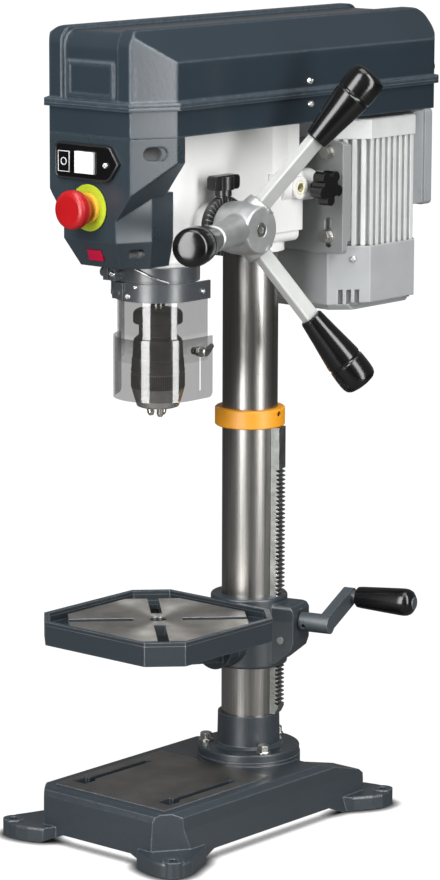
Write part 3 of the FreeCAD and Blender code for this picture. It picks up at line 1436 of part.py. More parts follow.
def emergency_collar():
    front = panel_upper[2]
    disc = rod(24.0, (stop_x, front - 2.2, stop_z), (stop_x, front - 1.25, stop_z))
    step = rod(15.5, (stop_x, front - 7.5, stop_z), (stop_x, front - 1.25, stop_z))
    neck = rod(11.0, (stop_x, front - 2, stop_z), (stop_x, front + 12, stop_z))
    return cut(fuse([disc, step, neck]), [rod(9.0, (stop_x, front - 9, stop_z), (stop_x, front + 13, stop_z))])


def emergency_button():
    front = panel_upper[2]
    tip = front - stop_head_front
    profile = [(0, 0), (stop_head_r - 5, 0.0), (stop_head_r - 1.6, 1.3), (stop_head_r, 4.0)]
    profile += [(stop_head_r, 11.0), (stop_head_r - 5.0, 21.0), (8.7, 21.5), (8.7, 38), (0, 38)]
    head = turned(profile)
    head.rotate(FreeCAD.Vector(0, 0, 0), FreeCAD.Vector(1, 0, 0), -90)
    head.translate(FreeCAD.Vector(stop_x, tip, stop_z))
    return head


def rocker_switch():
    # Rocks on a pin across its middle, drawn flat and then laid on the sloping face.
    rocker = prism([(-5.6, 6), (-5.6, -2.6), (0, -0.8), (5.6, -0.4), (5.6, 6)], "x",
                   rocker_x - 9.7, rocker_x + 9.7)
    flat = spun(rocker, (0, 0, 0), (1, 0, 0), 90)
    flat = flat.mirror(FreeCAD.Vector(0, 0, 0), FreeCAD.Vector(0, 0, 1))
    flat = spun(flat, (0, 0, 0), (1, 0, 0), 180)
    return chin_placed(flat)


# Chuck guard

def sector(outer, inner, start, end, low, high):
    # Part of a ring about the spindle, between two angles in degrees.
    whole = ring(outer, inner, (0, spindle_y, low), (0, spindle_y, high))
    points = [(0, spindle_y)]
    for k in range(7):
        a = math.radians(start + (end - start) * k / 6)
        points.append((2 * outer * math.cos(a), spindle_y + 2 * outer * math.sin(a)))
    return whole.common(prism(points, "z", low, high))


def guard_strip(radius, thickness, back_y, low, high):
    # A band that starts by the hinge on the left, runs round the front of the chuck and
    # then straight back along the right.
    edges = []
    ends = []
    for r in (radius, radius - thickness):
        start = FreeCAD.Vector(-math.sqrt(r * r - guard_start * guard_start), spindle_y - guard_start, low)
        front = FreeCAD.Vector(0, spindle_y - r, low)
        side = FreeCAD.Vector(r, spindle_y, low)
        back = FreeCAD.Vector(r, back_y, low)
        edges.append(Part.Arc(start, front, side).toShape())
        edges.append(Part.makeLine(side, back))
        ends.append((start, back))
    edges.append(Part.makeLine(ends[0][1], ends[1][1]))
    edges.append(Part.makeLine(ends[1][0], ends[0][0]))
    face = Part.Face(Part.Wire(Part.__sortEdges__(edges)))
    return face.extrude(FreeCAD.Vector(0, 0, high - low))


def guard_bracket():
    band = guard_strip(guard_band_r, guard_band_t, guard_back_y, guard_band_bottom, guard_band_top)
    barrel = rod(6.0, (guard_pin_x, guard_pin_y, guard_band_bottom), (guard_pin_x, guard_pin_y, guard_band_top))
    web = box(guard_pin_x, guard_pin_x + 8, guard_pin_y - 4, guard_pin_y + 4, guard_band_bottom,
              guard_band_top)
    web = web.cut(rod(guard_band_r - guard_band_t, (0, spindle_y, 500), (0, spindle_y, 700)))
    plate = sector(guard_band_r + 3, guard_band_r - 0.5, 205.0, 262.0, guard_band_bottom + 2,
                   guard_band_top)
    body = fuse([band, barrel, web, plate])
    bore = rod(3.0 + running_gap, (guard_pin_x, guard_pin_y, 500), (guard_pin_x, guard_pin_y, 700))
    body = body.cut(bore)
    screws = []
    for angle in (-128.0, -108.0):
        a = math.radians(angle)
        r = guard_band_r + 2.2
        z = (guard_band_bottom + guard_band_top) / 2 - 2
        screws.append(rod(3.2, (r * math.cos(a) * 0.985, spindle_y + r * math.sin(a) * 0.985, z),
                          (r * math.cos(a) * 1.045, spindle_y + r * math.sin(a) * 1.045, z)))
    screws.append(rod(3.2, (guard_band_r - 0.5, guard_back_y - 14, guard_band_bottom + 9),
                      (guard_band_r + 2, guard_back_y - 14, guard_band_bottom + 9)))
    return fuse([body] + screws)


def guard_clamp():
    # The clamp ring grips the nose of the head and carries the guard's hinge pin.
    body = ring(clamp_ring_r, nose_r, (0, spindle_y, clamp_ring_bottom), (0, spindle_y, clamp_ring_top))
    block = sector(clamp_ring_r + 7, nose_r + 1, 200.0, 240.0, clamp_ring_bottom, clamp_ring_top - 3)
    lug = box(guard_pin_x - 8, guard_pin_x + 12, guard_pin_y - 7, guard_pin_y + 12,
              clamp_ring_bottom, clamp_ring_top - 2)
    ears = box(-30, -14, spindle_y - clamp_ring_r - 8, spindle_y - clamp_ring_r + 12,
               clamp_ring_bottom, clamp_ring_top - 2)
    lug = fuse([lug, ears, block]).cut(rod(nose_r, (0, spindle_y, 590), (0, spindle_y, 700)))
    pin = rod(3.0, (guard_pin_x, guard_pin_y, guard_band_bottom - 4), (guard_pin_x, guard_pin_y, clamp_ring_top - 4))
    nut = hex_prism(9.0, (guard_pin_x, guard_pin_y, guard_band_bottom - 4.5),
                    (guard_pin_x, guard_pin_y, guard_band_bottom - free_gap))
    screw = rod(3.0, (-36, spindle_y - clamp_ring_r - 1.5, 609), (-9, spindle_y - clamp_ring_r - 1.5, 609))
    head = rod(5.0, (-36, spindle_y - clamp_ring_r - 1.5, 609), (-30, spindle_y - clamp_ring_r - 1.5, 609))
    body = fuse([body, lug, pin, nut, screw, head])
    split = box(-23, -21, spindle_y - 60, spindle_y - nose_r + 1, 590, 640)
    split = split.cut(rod(5.2, (-40, spindle_y - clamp_ring_r - 1.5, 609),
                          (0, spindle_y - clamp_ring_r - 1.5, 609)))
    return body.cut(split)


def upper_shield():
    body = guard_strip(upper_shield_r, shield_t, guard_back_y - 1.5, upper_shield_bottom, guard_band_top - 1)
    return body.cut(shield_hole(wing_z))


def shield_hole(z):
    radius = wing_screw_r + free_gap
    return rod(radius, (upper_shield_r - 20, wing_y, z), (lower_shield_r + 20, wing_y, z))


def lower_shield():
    body = guard_strip(lower_shield_r, shield_t, guard_back_y + 1.5, lower_shield_bottom, lower_shield_top)
    ends = [e for e in body.Edges if abs(e.Length - shield_t) < 0.3
            and e.BoundBox.ZMax < lower_shield_bottom + 0.1]
    body = body.makeFillet(lower_shield_corner, ends)
    half = wing_screw_r + free_gap
    slot_low = wing_z - lower_shield_travel
    run = box(upper_shield_r - 20, lower_shield_r + 20, wing_y - half, wing_y + half, slot_low, wing_z)
    return cut(body, [shield_hole(wing_z), shield_hole(slot_low), run])


def guard_wing_screw():
    outer = lower_shield_r + free_gap
    shank = rod(wing_screw_r, (upper_shield_r - 6, wing_y, wing_z), (outer + 6, wing_y, wing_z))
    nut = rod(4.0, (upper_shield_r - 6, wing_y, wing_z), (upper_shield_r - shield_t - free_gap, wing_y, wing_z))
    spacer = rod(5.0, (upper_shield_r + free_gap, wing_y, wing_z),
                 (lower_shield_r - shield_t - free_gap, wing_y, wing_z))
    washer = rod(5.5, (outer, wing_y, wing_z), (outer + 1.2, wing_y, wing_z))
    core = rod(4.2, (outer + 1, wing_y, wing_z), (outer + 8, wing_y, wing_z))
    wings = prism([(wing_y - 12, wing_z + 1), (wing_y - 5, wing_z - 4), (wing_y + 5, wing_z - 3),
                   (wing_y + 13, wing_z + 5), (wing_y + 11, wing_z + 8), (wing_y, wing_z + 3),
                   (wing_y - 12, wing_z + 6)], "x", outer + 4, outer + 7)
    return fuse([shank, nut, spacer, washer, core, wings])


# Motor

def motor_outline(half, flat):
    points = [(flat, -half), (half, -flat), (half, flat), (flat, half)]
    points += [(-x, -y) for x, y in points]
    return [(x, y + motor_y) for x, y in points]


def motor_housing():
    body = prism(motor_outline(motor_half, motor_flat), "z", fin_bottom, fin_top)
    body = body.cut(rod(motor_half - 12, (0, motor_y, fin_bottom + 8), (0, motor_y, fin_top + 1)))
    grooves = []
    span = motor_half * 1.5
    for k in range(8):
        side = k * 45.0
        offset = -30.0
        while offset <= 30.1:
            if side != 270.0:
                groove = box(motor_half - fin_depth, motor_half + 12, offset - 2.6, offset + 2.6,
                             fin_bottom - 1, fin_top + 1)
                if k % 2:
                    reach = (motor_half + motor_flat) / math.sqrt(2) - motor_half
                    groove.translate(FreeCAD.Vector(reach, 0, 0))
                grooves.append(spun(groove, (0, 0, 0), (0, 0, 1), side))
            offset += fin_pitch
    for groove in grooves:
        groove.translate(FreeCAD.Vector(0, motor_y, 0))
    body = body.cut(Part.makeCompound(grooves))
    cap = prism(motor_outline(motor_half + 1.5, motor_flat + 1), "z", fin_top, cap_top)
    cap = cap.makeFillet(3.0, [e for e in cap.Edges if e.BoundBox.ZMin > cap_top - 0.1])
    cap = cap.cut(rod(motor_half - 14, (0, motor_y, fin_top - 1), (0, motor_y, cap_top - 6)))
    cap = cap.cut(rod(16.0, (0, motor_y, 0), (0, motor_y, 800)))
    bottom_hole = rod(16.0, (0, motor_y, 500), (0, motor_y, fin_bottom + 9))
    pad = box(-plate_half + 8, plate_half - 8, plate_face_y + plate_t, motor_y - motor_half + 8,
              fin_bottom + 2, fin_top - 4)
    seat = box(-36, 36, motor_y + motor_half - 8, motor_y + motor_half + 1.5, 655, fin_top)
    pads = pad.fuse(seat)
    pads = pads.cut(rod(motor_half - 12, (0, motor_y, fin_bottom + 8), (0, motor_y, fin_top + 1)))
    whole = fuse([body, pads, cap, motor_stator()])
    tools = [bottom_hole]
    for x in (-plate_bolt_x, plate_bolt_x):
        for z in (plate_bolt_low, plate_bolt_high):
            tools.append(rod(4.0, (x, plate_face_y, z), (x, plate_face_y + plate_t + 10, z)))
    return cut(whole, tools)


def motor_cowl():
    body = prism(motor_outline(motor_half + 2, motor_flat + 1), "z", cowl_bottom, fin_bottom)
    edges = [e for e in body.Edges if e.BoundBox.ZMax < cowl_bottom + 0.1]
    body = body.makeChamfer(7.0, edges)
    inner = prism(motor_outline(motor_half - 1, motor_flat), "z", cowl_bottom + 3, fin_bottom + 1)
    edges = [e for e in inner.Edges if e.BoundBox.ZMax < cowl_bottom + 3.1]
    inner = inner.makeChamfer(6.0, edges)
    for side in (-1, 1):
        x0, x1 = sorted((side * 54, side * 90))
        body = body.cut(box(x0, x1, 100, 350, cowl_bottom - 1, cowl_bottom + 9))
        x0, x1 = sorted((side * 51, side * 90))
        inner = inner.cut(box(x0, x1, 100, 350, cowl_bottom - 1, cowl_bottom + 12))
    body = body.cut(inner)
    plate_back = plate_face_y + plate_t + free_gap
    tools = [box(-100, 100, plate_face_y, plate_back, plate_bottom - 1, fin_bottom + 1)]
    for k in (1, 3, 5, 7):
        for offset in (-9.0, 0.0, 9.0):
            vent = box(40, 90, offset - 2.6, offset + 2.6, cowl_bottom + 7, cowl_bottom + 23)
            vent = spun(vent, (0, 0, 0), (0, 0, 1), 45.0 * k)
            vent.translate(FreeCAD.Vector(0, motor_y, 0))
            tools.append(vent)
    for k in range(12):
        grille = box(14, 52, -2.2, 2.2, cowl_bottom - 1, cowl_bottom + 5)
        grille = spun(grille, (0, 0, 0), (0, 0, 1), 30.0 * k)
        grille.translate(FreeCAD.Vector(0, motor_y, 0))
        tools.append(grille)
    body = cut(body, tools)
    reach = (motor_half + motor_flat + 3) / math.sqrt(2)
    screws = []
    for k in range(4):
        screw = rod(3.4, (reach - 2, 4, fin_bottom - 14), (reach + 1.6, 4, fin_bottom - 14))
        screw = spun(screw, (0, 0, 0), (0, 0, 1), 45 + 90 * k)
        screw.translate(FreeCAD.Vector(0, motor_y, 0))
        screws.append(screw)
    return fuse([body] + screws)


def motor_plate():
    # The plate that bolts to the motor, with the two guide rods pressed into it.
    y0 = plate_face_y
    y1 = plate_face_y + plate_t
    waist_low = rod_z - 22
    waist_high = rod_z + 20
    plate = box(-plate_half, plate_half, y0, y1, plate_bottom, plate_top)
    edges = [e for e in plate.Edges if e.BoundBox.YLength > plate_t - 1]
    plate = plate.makeFillet(5.0, edges)
    rods = []
    for x in (-rod_x, rod_x):
        rods.append(rod(rod_r, (x, column_y + 12, rod_z), (x, y1, rod_z)))
        rods.append(rod(rod_r + 5, (x, y0 - 3, rod_z), (x, y1, rod_z)))
    ribs = [box(-plate_half, -plate_half + 7, y0 + 1, y1 + 6, waist_low - 40, waist_high + 22)]
    ribs.append(mirrored_x(ribs[0]))
    body = fuse([plate] + rods + ribs)
    tools = [rod(column_r + 6, (0, column_y, 500), (0, column_y, 760))]
    tools.append(rod(column_r + 2, (0, column_y + motor_travel, 500), (0, column_y + motor_travel, 760)))
    for x in (-plate_bolt_x, plate_bolt_x):
        tools.append(rod(4.5, (x, y0 - 1, plate_bolt_high), (x, y1 + 1, plate_bolt_high)))
        tools.append(rod(4.5, (x, y0 - 1, plate_bolt_low - 8), (x, y1 + 1, plate_bolt_low - 8)))
        tools.append(rod(4.5, (x, y0 - 1, plate_bolt_low + 16), (x, y1 + 1, plate_bolt_low + 16)))
        tools.append(box(x - 4.5, x + 4.5, y0 - 1, y1 + 1, plate_bolt_low - 8, plate_bolt_low + 16))
    return cut(body, tools)


def plate_bolts():
    solids = []
    for x in (-plate_bolt_x, plate_bolt_x):
        for z in (plate_bolt_low, plate_bolt_high):
            y = plate_face_y
            shank = rod(3.95, (x, y - 1, z), (x, y + plate_t + 9, z))
            washer = rod(8.0, (x, y - 1.6, z), (x, y, z))
            head = hex_prism(12.0, (x, y - 1.5, z), (x, y - 8.0, z))
            solids.append(fuse([shank, washer, head]))
    return solids


def motor_rotor():
    # Shaft, rotor pack and cooling fan turn together.
    shaft = rod(motor_shaft_r, (0, motor_y, fin_bottom - 33), (0, motor_y, groove_z(3) + 8))
    pack = rod(34.0, (0, motor_y, 635), (0, motor_y, 715))
    bearings = [rod(15.7, (0, motor_y, fin_bottom + 1), (0, motor_y, fin_bottom + 8))]
    bearings.append(rod(15.7, (0, motor_y, cap_top - 6), (0, motor_y, cap_top - 1)))
    disc = rod(52.0, (0, motor_y, fin_bottom - 12), (0, motor_y, fin_bottom - 9))
    blades = []
    for k in range(8):
        blade = box(16, 54, -1, 1, fin_bottom - 30, fin_bottom - 10)
        blade = spun(blade, (0, 0, 0), (0, 0, 1), 45.0 * k)
        blade.translate(FreeCAD.Vector(0, motor_y, 0))
        blades.append(blade)
    hub = rod(17.0, (0, motor_y, fin_bottom - 30), (0, motor_y, fin_bottom - 9))
    return fuse([shaft, pack, disc, hub] + bearings + blades)


def motor_stator():
    # Pressed into the finned frame for good.
    outer = motor_half - 12
    core = ring(outer, 35.0, (0, motor_y, 640), (0, motor_y, 712))
    coils = ring(outer - 7, 39.0, (0, motor_y, 628), (0, motor_y, 724))
    return fuse([core, coils])


def terminal_box():
    y0 = motor_y + motor_half + 1.5
    z0 = 647.0
    z1 = 750.0
    body = box(-44, 44, y0, y0 + 21, z0, z1)
    lid = box(-47, 47, y0 + 17, y0 + 31.5, z0 - 2, z1 + 2)
    lid = lid.makeFillet(5.0, [e for e in lid.Edges if e.BoundBox.YLength > 10])
    lid = lid.makeFillet(2.5, [e for e in lid.Edges if e.BoundBox.YMin > y0 + 31.4])
    hollow = box(-41, 41, y0 - 1, y0 + 28, z0 + 3, z1 - 3)
    return fuse([body, lid]).cut(hollow)


def tension_knob():
    # Five-lobed knob whose screw clamps the right guide rod.
    x0 = tension_x
    y = tension_y
    stem = rod(3.0, (rod_x + rod_r + 0.15, y, rod_z), (x0 + 6, y, rod_z))
    hub = rod(9.0, (x0, y, rod_z), (x0 + 9, y, rod_z))
    core = rod(12.0, (x0 + 6, y, rod_z), (x0 + 20, y, rod_z))
    lobes = []
    for k in range(5):
        lobe = rod(6.0, (x0 + 6, y, rod_z - 13.5), (x0 + 20, y, rod_z - 13.5))
        lobes.append(spun(lobe, (0, y, rod_z), (1, 0, 0), 72.0 * k))
    return fuse([stem, hub, core] + lobes)


save("base_casting", base_casting())
save("column_foot", column_foot())
save("foot_bolts", foot_bolts())
save("column", column())
save("column_collar", column_collar())
save("set_screws", set_screws())
save("head_casting", head_casting())
save("belt_housing", belt_housing())
save("control_panel", control_panel())
save("switch_plate", switch_plate())
save("emergency_collar", emergency_collar())
save("guard_clamp", guard_clamp())
save("spring_cup", spring_cup())
save("return_spring", return_spring())
save("idler_arm", idler_arm())
save("drive_belts", drive_belts())
save("belt_lid", belt_lid())
save("lid_knob", lid_knob())
save("start_button", start_button())
save("stop_button", stop_button())
save("emergency_button", emergency_button())
save("rocker_switch", rocker_switch())
save("spindle_pulley", spindle_pulley())
save("idler_pulley", idler_pulley())
save("motor_pulley", motor_pulley())
save("quill", quill())
save("quill_bearings", quill_bearings())
save("spindle", spindle())
save("chuck_body", chuck_body())
save("chuck_sleeve", chuck_sleeve())
save("chuck_jaw_rear", chuck_jaw(0))
save("chuck_jaw_left", chuck_jaw(1))
save("chuck_jaw_right", chuck_jaw(2))
save("feed_pinion", feed_pinion())
save("feed_hub", feed_hub())
save("feed_spokes", feed_spokes())
save("feed_grips", feed_grips())
save("hub_screw", hub_screw())
save("depth_ring", depth_ring())
save("depth_knob", depth_knob())
save("guard_bracket", guard_bracket())
save("upper_shield", upper_shield())
save("lower_shield", lower_shield())
save("guard_wing_screw", guard_wing_screw())
save("table_rack", table_rack())
save("table_bracket", table_bracket())
save("table_clamp", table_clamp())
save("work_table", work_table())
save("tilt_bolt", tilt_bolt())
save("crank_worm", crank_worm())
save("lift_gear", lift_gear())
save("crank_arm", crank_arm())
save("crank_grip", crank_grip())
save("motor_housing", motor_housing())
save("motor_cowl", motor_cowl())
save("motor_plate", motor_plate())
save("plate_bolts", plate_bolts())
save("motor_rotor", motor_rotor())
save("terminal_box", terminal_box())
save("tension_knob", tension_knob())
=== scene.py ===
"""Benchtop drill press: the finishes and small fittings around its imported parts, in metres."""

import math

import bmesh
import bpy
from mathutils import Matrix, Vector


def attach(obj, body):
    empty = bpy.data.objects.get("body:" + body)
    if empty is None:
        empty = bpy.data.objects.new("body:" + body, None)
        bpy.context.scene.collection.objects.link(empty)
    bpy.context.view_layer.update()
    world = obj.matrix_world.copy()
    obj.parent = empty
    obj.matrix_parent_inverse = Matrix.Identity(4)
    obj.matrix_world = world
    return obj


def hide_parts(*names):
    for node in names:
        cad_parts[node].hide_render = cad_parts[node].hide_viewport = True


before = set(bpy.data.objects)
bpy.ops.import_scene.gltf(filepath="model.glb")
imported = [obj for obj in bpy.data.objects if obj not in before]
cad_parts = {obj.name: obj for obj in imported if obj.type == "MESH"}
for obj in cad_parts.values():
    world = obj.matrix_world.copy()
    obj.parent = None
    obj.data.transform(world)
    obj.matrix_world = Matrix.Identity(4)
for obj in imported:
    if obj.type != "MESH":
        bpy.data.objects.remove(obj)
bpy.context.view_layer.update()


# Base: one iron casting with four bolt-down ears, sprayed in dark slate enamel.
# Its raised plateau, where large work is set down, is milled flat and left bare.


class Value:
    """One socket of a finish. Python arithmetic on it adds the Math nodes."""

    def __init__(self, finish, socket):
        self.finish = finish
        self.socket = socket

    def math(self, operation, *values):
        return self.finish.node("ShaderNodeMath", {"operation": operation}, *values)

    def __add__(self, other):
        return self.math("ADD", self, other)

    __radd__ = __add__

    def __sub__(self, other):
        return self.math("SUBTRACT", self, other)

    def __rsub__(self, other):
        return self.math("SUBTRACT", other, self)

    def __mul__(self, other):
        return self.math("MULTIPLY", self, other)

    __rmul__ = __mul__

    def __pow__(self, other):
        return self.math("POWER", self, other)

    def __gt__(self, other):
        return self.math("GREATER_THAN", self, other)

    def __lt__(self, other):
        return self.math("LESS_THAN", self, other)


class Finish:
    """One finish: a Principled shader, its fixed sockets, and expressions for the changing ones."""

    def __init__(self, name, fixed=()):
        self.material = bpy.data.materials.new(name)
        self.material.use_nodes = True
        self.tree = self.material.node_tree
        self.shader = self.tree.nodes["Principled BSDF"]
        for socket, value in dict(fixed).items():
            self.shader.inputs[socket].default_value = value
        self.place = self.node("ShaderNodeTexCoord", {}, out=3)

    def node(self, kind, settings, *values, out=0, **named):
        """Adds a node: its settings first, then values or links in the order of its sockets, or by name."""
        made = self.tree.nodes.new(kind)
        for name, value in settings.items():
            setattr(made, name, value)
        sockets = [socket for socket in made.inputs if socket.enabled]
        pairs = list(zip(sockets, values)) + [(made.inputs[key], named[key]) for key in named]
        for socket, value in pairs:
            if isinstance(value, Value):
                self.tree.links.new(value.socket, socket)
            else:
                socket.default_value = value
        outputs = [socket for socket in made.outputs if socket.enabled]
        return Value(self, outputs[out])

    def feed(self, **inputs):
        """Links values to the shader's sockets, with _ for each space in a socket's name."""
        for name, value in inputs.items():
            socket = self.shader.inputs[name.replace("_", " ")]
            if isinstance(value, Value):
                self.tree.links.new(value.socket, socket)
            else:
                socket.default_value = value

    def stretched(self, x, y, z):
        """The place with its axes scaled, so that a noise over it runs long along a small factor."""
        return self.node("ShaderNodeVectorMath", {"operation": "MULTIPLY"}, self.place, (x, y, z))

    def axis(self, letter):
        """The place along X, Y or Z, in metres."""
        return self.node("ShaderNodeSeparateXYZ", {}, self.place, out="XYZ".index(letter))

    def noise(self, scale, detail=2.0, rough=0.5, vector=None):
        """Even noise from 0 to 1, with scale in turns a metre."""
        where = vector or self.place
        return self.node("ShaderNodeTexNoise", {}, where, Scale=scale, Detail=detail, Roughness=rough)

    def mix(self, share, first, second):
        """The first colour where share is 0 and the second where it is 1."""
        return self.node("ShaderNodeMix", {"data_type": "RGBA"}, share, first, second)

    def span(self, value, low, high, start=0.0, end=1.0):
        """The value's place between low and high, held inside start and end."""
        return self.node("ShaderNodeMapRange", {"clamp": True}, value, low, high, start, end)

    def rounded(self, radius):
        """The normal of edges rounded by radius, and a mask that is 1 on those edges."""
        normal = self.node("ShaderNodeBevel", {"samples": 4}, radius)
        flat = self.node("ShaderNodeNewGeometry", {}, out=1)
        likeness = self.node("ShaderNodeVectorMath", {"operation": "DOT_PRODUCT"}, normal, flat)
        return normal, self.span(1 - likeness, 0.01, 0.12)

    def bump(self, height, distance, normal):
        return self.node("ShaderNodeBump", {}, Strength=1.0, Distance=distance, Height=height, Normal=normal)

    def dress(self, *nodes):
        """Puts the finish on those nodes of the frame."""
        for name in nodes:
            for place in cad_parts[name].material_slots:
                place.material = self.material
        return self


def tone(red, green, blue):
    """A screen colour of 0 to 255 as the linear colour that a shader takes."""
    parts = [value / 255 for value in (red, green, blue)]
    return (*[v / 12.92 if v <= 0.04045 else ((v + 0.055) / 1.055) ** 2.4 for v in parts], 1.0)


glossy = {"Specular IOR Level": 0.9}


def enamel(name, colour, wear_and_highlight, rough=0.36, grain=700.0, relief=0.00012, edge=0.0012, scuffed=0.08):
    """Sprayed paint: slow drift of tone, orange peel, and rounded edges lightened towards the edge colour, partly
    worn paint and partly painted highlight.
    """
    paint = Finish(name, glossy)
    normal, edges = paint.rounded(edge)
    drift = paint.noise(11.0, 3.0)
    scuffs = paint.span(paint.noise(160.0, 5.0, 0.65), 0.42, 0.72)
    dark = tuple(part * 0.82 for part in colour[:3]) + (1.0,)
    body = paint.mix(drift, dark, colour)
    # Painted highlight and wear: the rounded edges, more where scuffed, take the lighter edge colour.
    paint.body = paint.mix(edges * (0.55 + 0.45 * scuffs), body, wear_and_highlight)
    paint.rough = rough + 0.12 * (drift - 0.5) + scuffed * scuffs
    paint.normal = paint.bump(paint.noise(grain, 3.0), relief, normal)
    paint.feed(Base_Color=paint.body, Roughness=paint.rough, Normal=paint.normal)
    return paint


def milled(paint, mask, centre, bare, shine, pitch=0.0011, cut=1.0):
    """Bare milled metal over a paint where mask is 1: arcs left by the cutter, and handling stains.

    The arcs lie about centre, pitch apart, and cut is how deep they are beside the usual.
    """
    shifted = paint.node("ShaderNodeVectorMath", {"operation": "SUBTRACT"}, paint.place, centre)
    arcs = paint.node(
        "ShaderNodeTexWave", {"wave_type": "RINGS", "rings_direction": "Z"}, shifted,
        Scale=0.314 / pitch, Distortion=2.0, Detail=2.0,
    )
    stains = paint.noise(24.0, 5.0, 0.6)
    metal = paint.mix(paint.span(stains, 0.35, 0.7), bare, shine)
    grooves = paint.bump(arcs, 0.00003 * cut, paint.normal)
    paint.feed(
        Base_Color=paint.mix(mask, paint.body, metal),
        Metallic=mask * 0.9,
        Roughness=paint.rough * (1 - mask) + (0.26 + 0.14 * stains + 0.05 * arcs) * mask,
        Normal=paint.mix(mask, paint.normal, grooves),
    )


slate = tone(37, 45, 51)
slate_edge = tone(104, 114, 120)

base_finish = enamel("base_slate", slate, slate_edge, edge=0.0018, relief=0.0002)
base_up = base_finish.axis("Z")
plateau_top = 0.057
plateau = (base_up > plateau_top - 0.0004) * (base_up < plateau_top + 0.0005)
milled(base_finish, plateau, (0.0, -0.06, plateau_top), tone(104, 102, 99), tone(134, 131, 127))
base_finish.dress("base_casting")


# Column foot: a turned iron flange with a sleeve round the column, in the base's enamel.
# Hexagon bolts on plain washers hold it down; both are zinc plated.

enamel("foot_slate", slate, slate_edge, edge=0.0012).dress("column_foot")


def plated(name, colour, rough=0.24, streak=500.0):
    """Plated or polished metal: cloudy tone, fine scratches, and rounded edges painted paler as a highlight."""
    metal = Finish(name, {"Metallic": 1.0})
    normal, edges = metal.rounded(0.0006)
    clouds = metal.noise(90.0, 4.0, 0.6)
    scratches = metal.noise(streak, 4.0, 0.7, metal.stretched(1.0, 1.0, 0.12))
    dull = tuple(part * 0.72 for part in colour[:3]) + (1.0,)
    edge_highlight = tuple(min(1.0, part * 1.35) for part in colour[:3]) + (1.0,)
    # Painted highlight: the rounded edges are mixed towards the paler colour.
    metal.feed(
        Base_Color=metal.mix(edges, metal.mix(clouds, dull, colour), edge_highlight),
        Roughness=rough + 0.18 * (clouds - 0.4) + 0.08 * scratches,
        Normal=metal.bump(scratches, 0.00003, normal),
    )
    return metal


zinc = plated("zinc_plate", tone(205, 204, 198))
zinc.dress("foot_bolts", "plate_bolts", "hub_screw", "tilt_bolt", "guard_wing_screw")


# Column: a drawn steel tube, ground bright and lightly oiled, with the drawing lines along it.
# A pressed ring in orange holds the rack's upper end; black socket screws pinch the parts to the tube.

tube = Finish("drawn_tube", {"Metallic": 1.0})
tube_lines = tube.noise(420.0, 4.0, 0.6, tube.stretched(1.0, 1.0, 0.012))
tube_rings = tube.noise(900.0, 2.0, 0.6, tube.stretched(0.02, 0.02, 1.0))
tube_marks = tube.span(tube.noise(60.0, 6.0, 0.7, tube.stretched(1.0, 1.0, 0.35)), 0.64, 0.82)
tube_body = tube.mix(tube_lines, tone(104, 102, 99), tone(186, 184, 180))
tube.feed(
    Base_Color=tube.mix(tube_marks, tube_body, tone(96, 88, 80)),
    Roughness=0.20 + 0.14 * tube_lines + 0.08 * tube_rings + 0.2 * tube_marks,
    Normal=tube.bump(tube_lines + 0.35 * tube_rings, 0.00005, tube.rounded(0.0008)[0]),
)
tube.dress("column")

collar_orange = enamel("collar_orange", tone(226, 150, 1), tone(236, 168, 14), rough=0.42, relief=0.00005)
collar_orange.dress("column_collar")

blackened = plated("blackened_steel", tone(52, 53, 55), rough=0.38)
blackened.dress("set_screws", "table_clamp", "spring_cup", "return_spring", "idler_arm")


# Rack: a milled steel bar beside the column, bright on its sides and oily dark between its teeth.
# It hangs loosely between the foot and the ring, so that it swings round the column with the bracket.

rack = Finish("milled_rack", {"Metallic": 1.0})
rack_normal, rack_edges = rack.rounded(0.0005)
rack_oil = rack.noise(120.0, 5.0, 0.65)
rack_body = rack.mix(rack_oil, tone(98, 100, 98), tone(176, 178, 175))
# Painted highlight: the rounded edges are mixed towards a paler steel colour.
rack.feed(
    Base_Color=rack.mix(rack_edges, rack_body, tone(214, 214, 210)),
    Roughness=0.28 + 0.25 * rack_oil,
    Normal=rack.bump(rack.noise(700.0, 3.0, 0.6, rack.stretched(1.0, 1.0, 0.05)), 0.00004, rack_normal),
)
rack.dress("table_rack", "crank_worm", "lift_gear", "feed_pinion")


# Table bracket: an iron casting that slides on the column, with the lift gears in its side box.
# The crank's cast arm has the same enamel, and its turned handle is moulded in hard black plastic.

enamel("bracket_slate", slate, slate_edge, edge=0.0015, relief=0.0002).dress("table_bracket")
enamel("crank_slate", tone(58, 65, 70), slate_edge, edge=0.0012, relief=0.0002).dress("crank_arm")


def moulded(name, colour, rough=0.2, texture=900.0, relief=0.00003, edge=0.0008):
    """Moulded plastic: nearly even colour, faint flow marks, a fine skin and softened edges."""
    plastic = Finish(name)
    normal, edges = plastic.rounded(edge)
    flow = plastic.noise(35.0, 3.0)
    skin = plastic.noise(texture, 3.0, 0.6)
    shaded = tuple(part * 0.8 for part in colour[:3]) + (1.0,)
    lit = tuple(min(1.0, part * 1.25 + 0.004) for part in colour[:3]) + (1.0,)
    plastic.feed(
        Base_Color=plastic.mix(edges, plastic.mix(flow, shaded, colour), lit),
        Roughness=rough + 0.10 * (flow - 0.5) + 0.06 * skin,
        Normal=plastic.bump(skin, relief, normal),
    )
    return plastic


grip_black = moulded("grip_black", tone(9, 9, 10), rough=0.14)


def facing(origin, way, along=None):
    """The matrix at that origin whose Z points that way, and whose X points along if that is given."""
    ahead = Vector(way).normalized()
    if along is None:
        placed = ahead.to_track_quat("Z", "Y").to_matrix().to_4x4()
    else:
        across = Vector(along).normalized()
        placed = Matrix((across, ahead.cross(across), ahead)).transposed().to_4x4()
    placed.translation = origin
    return placed


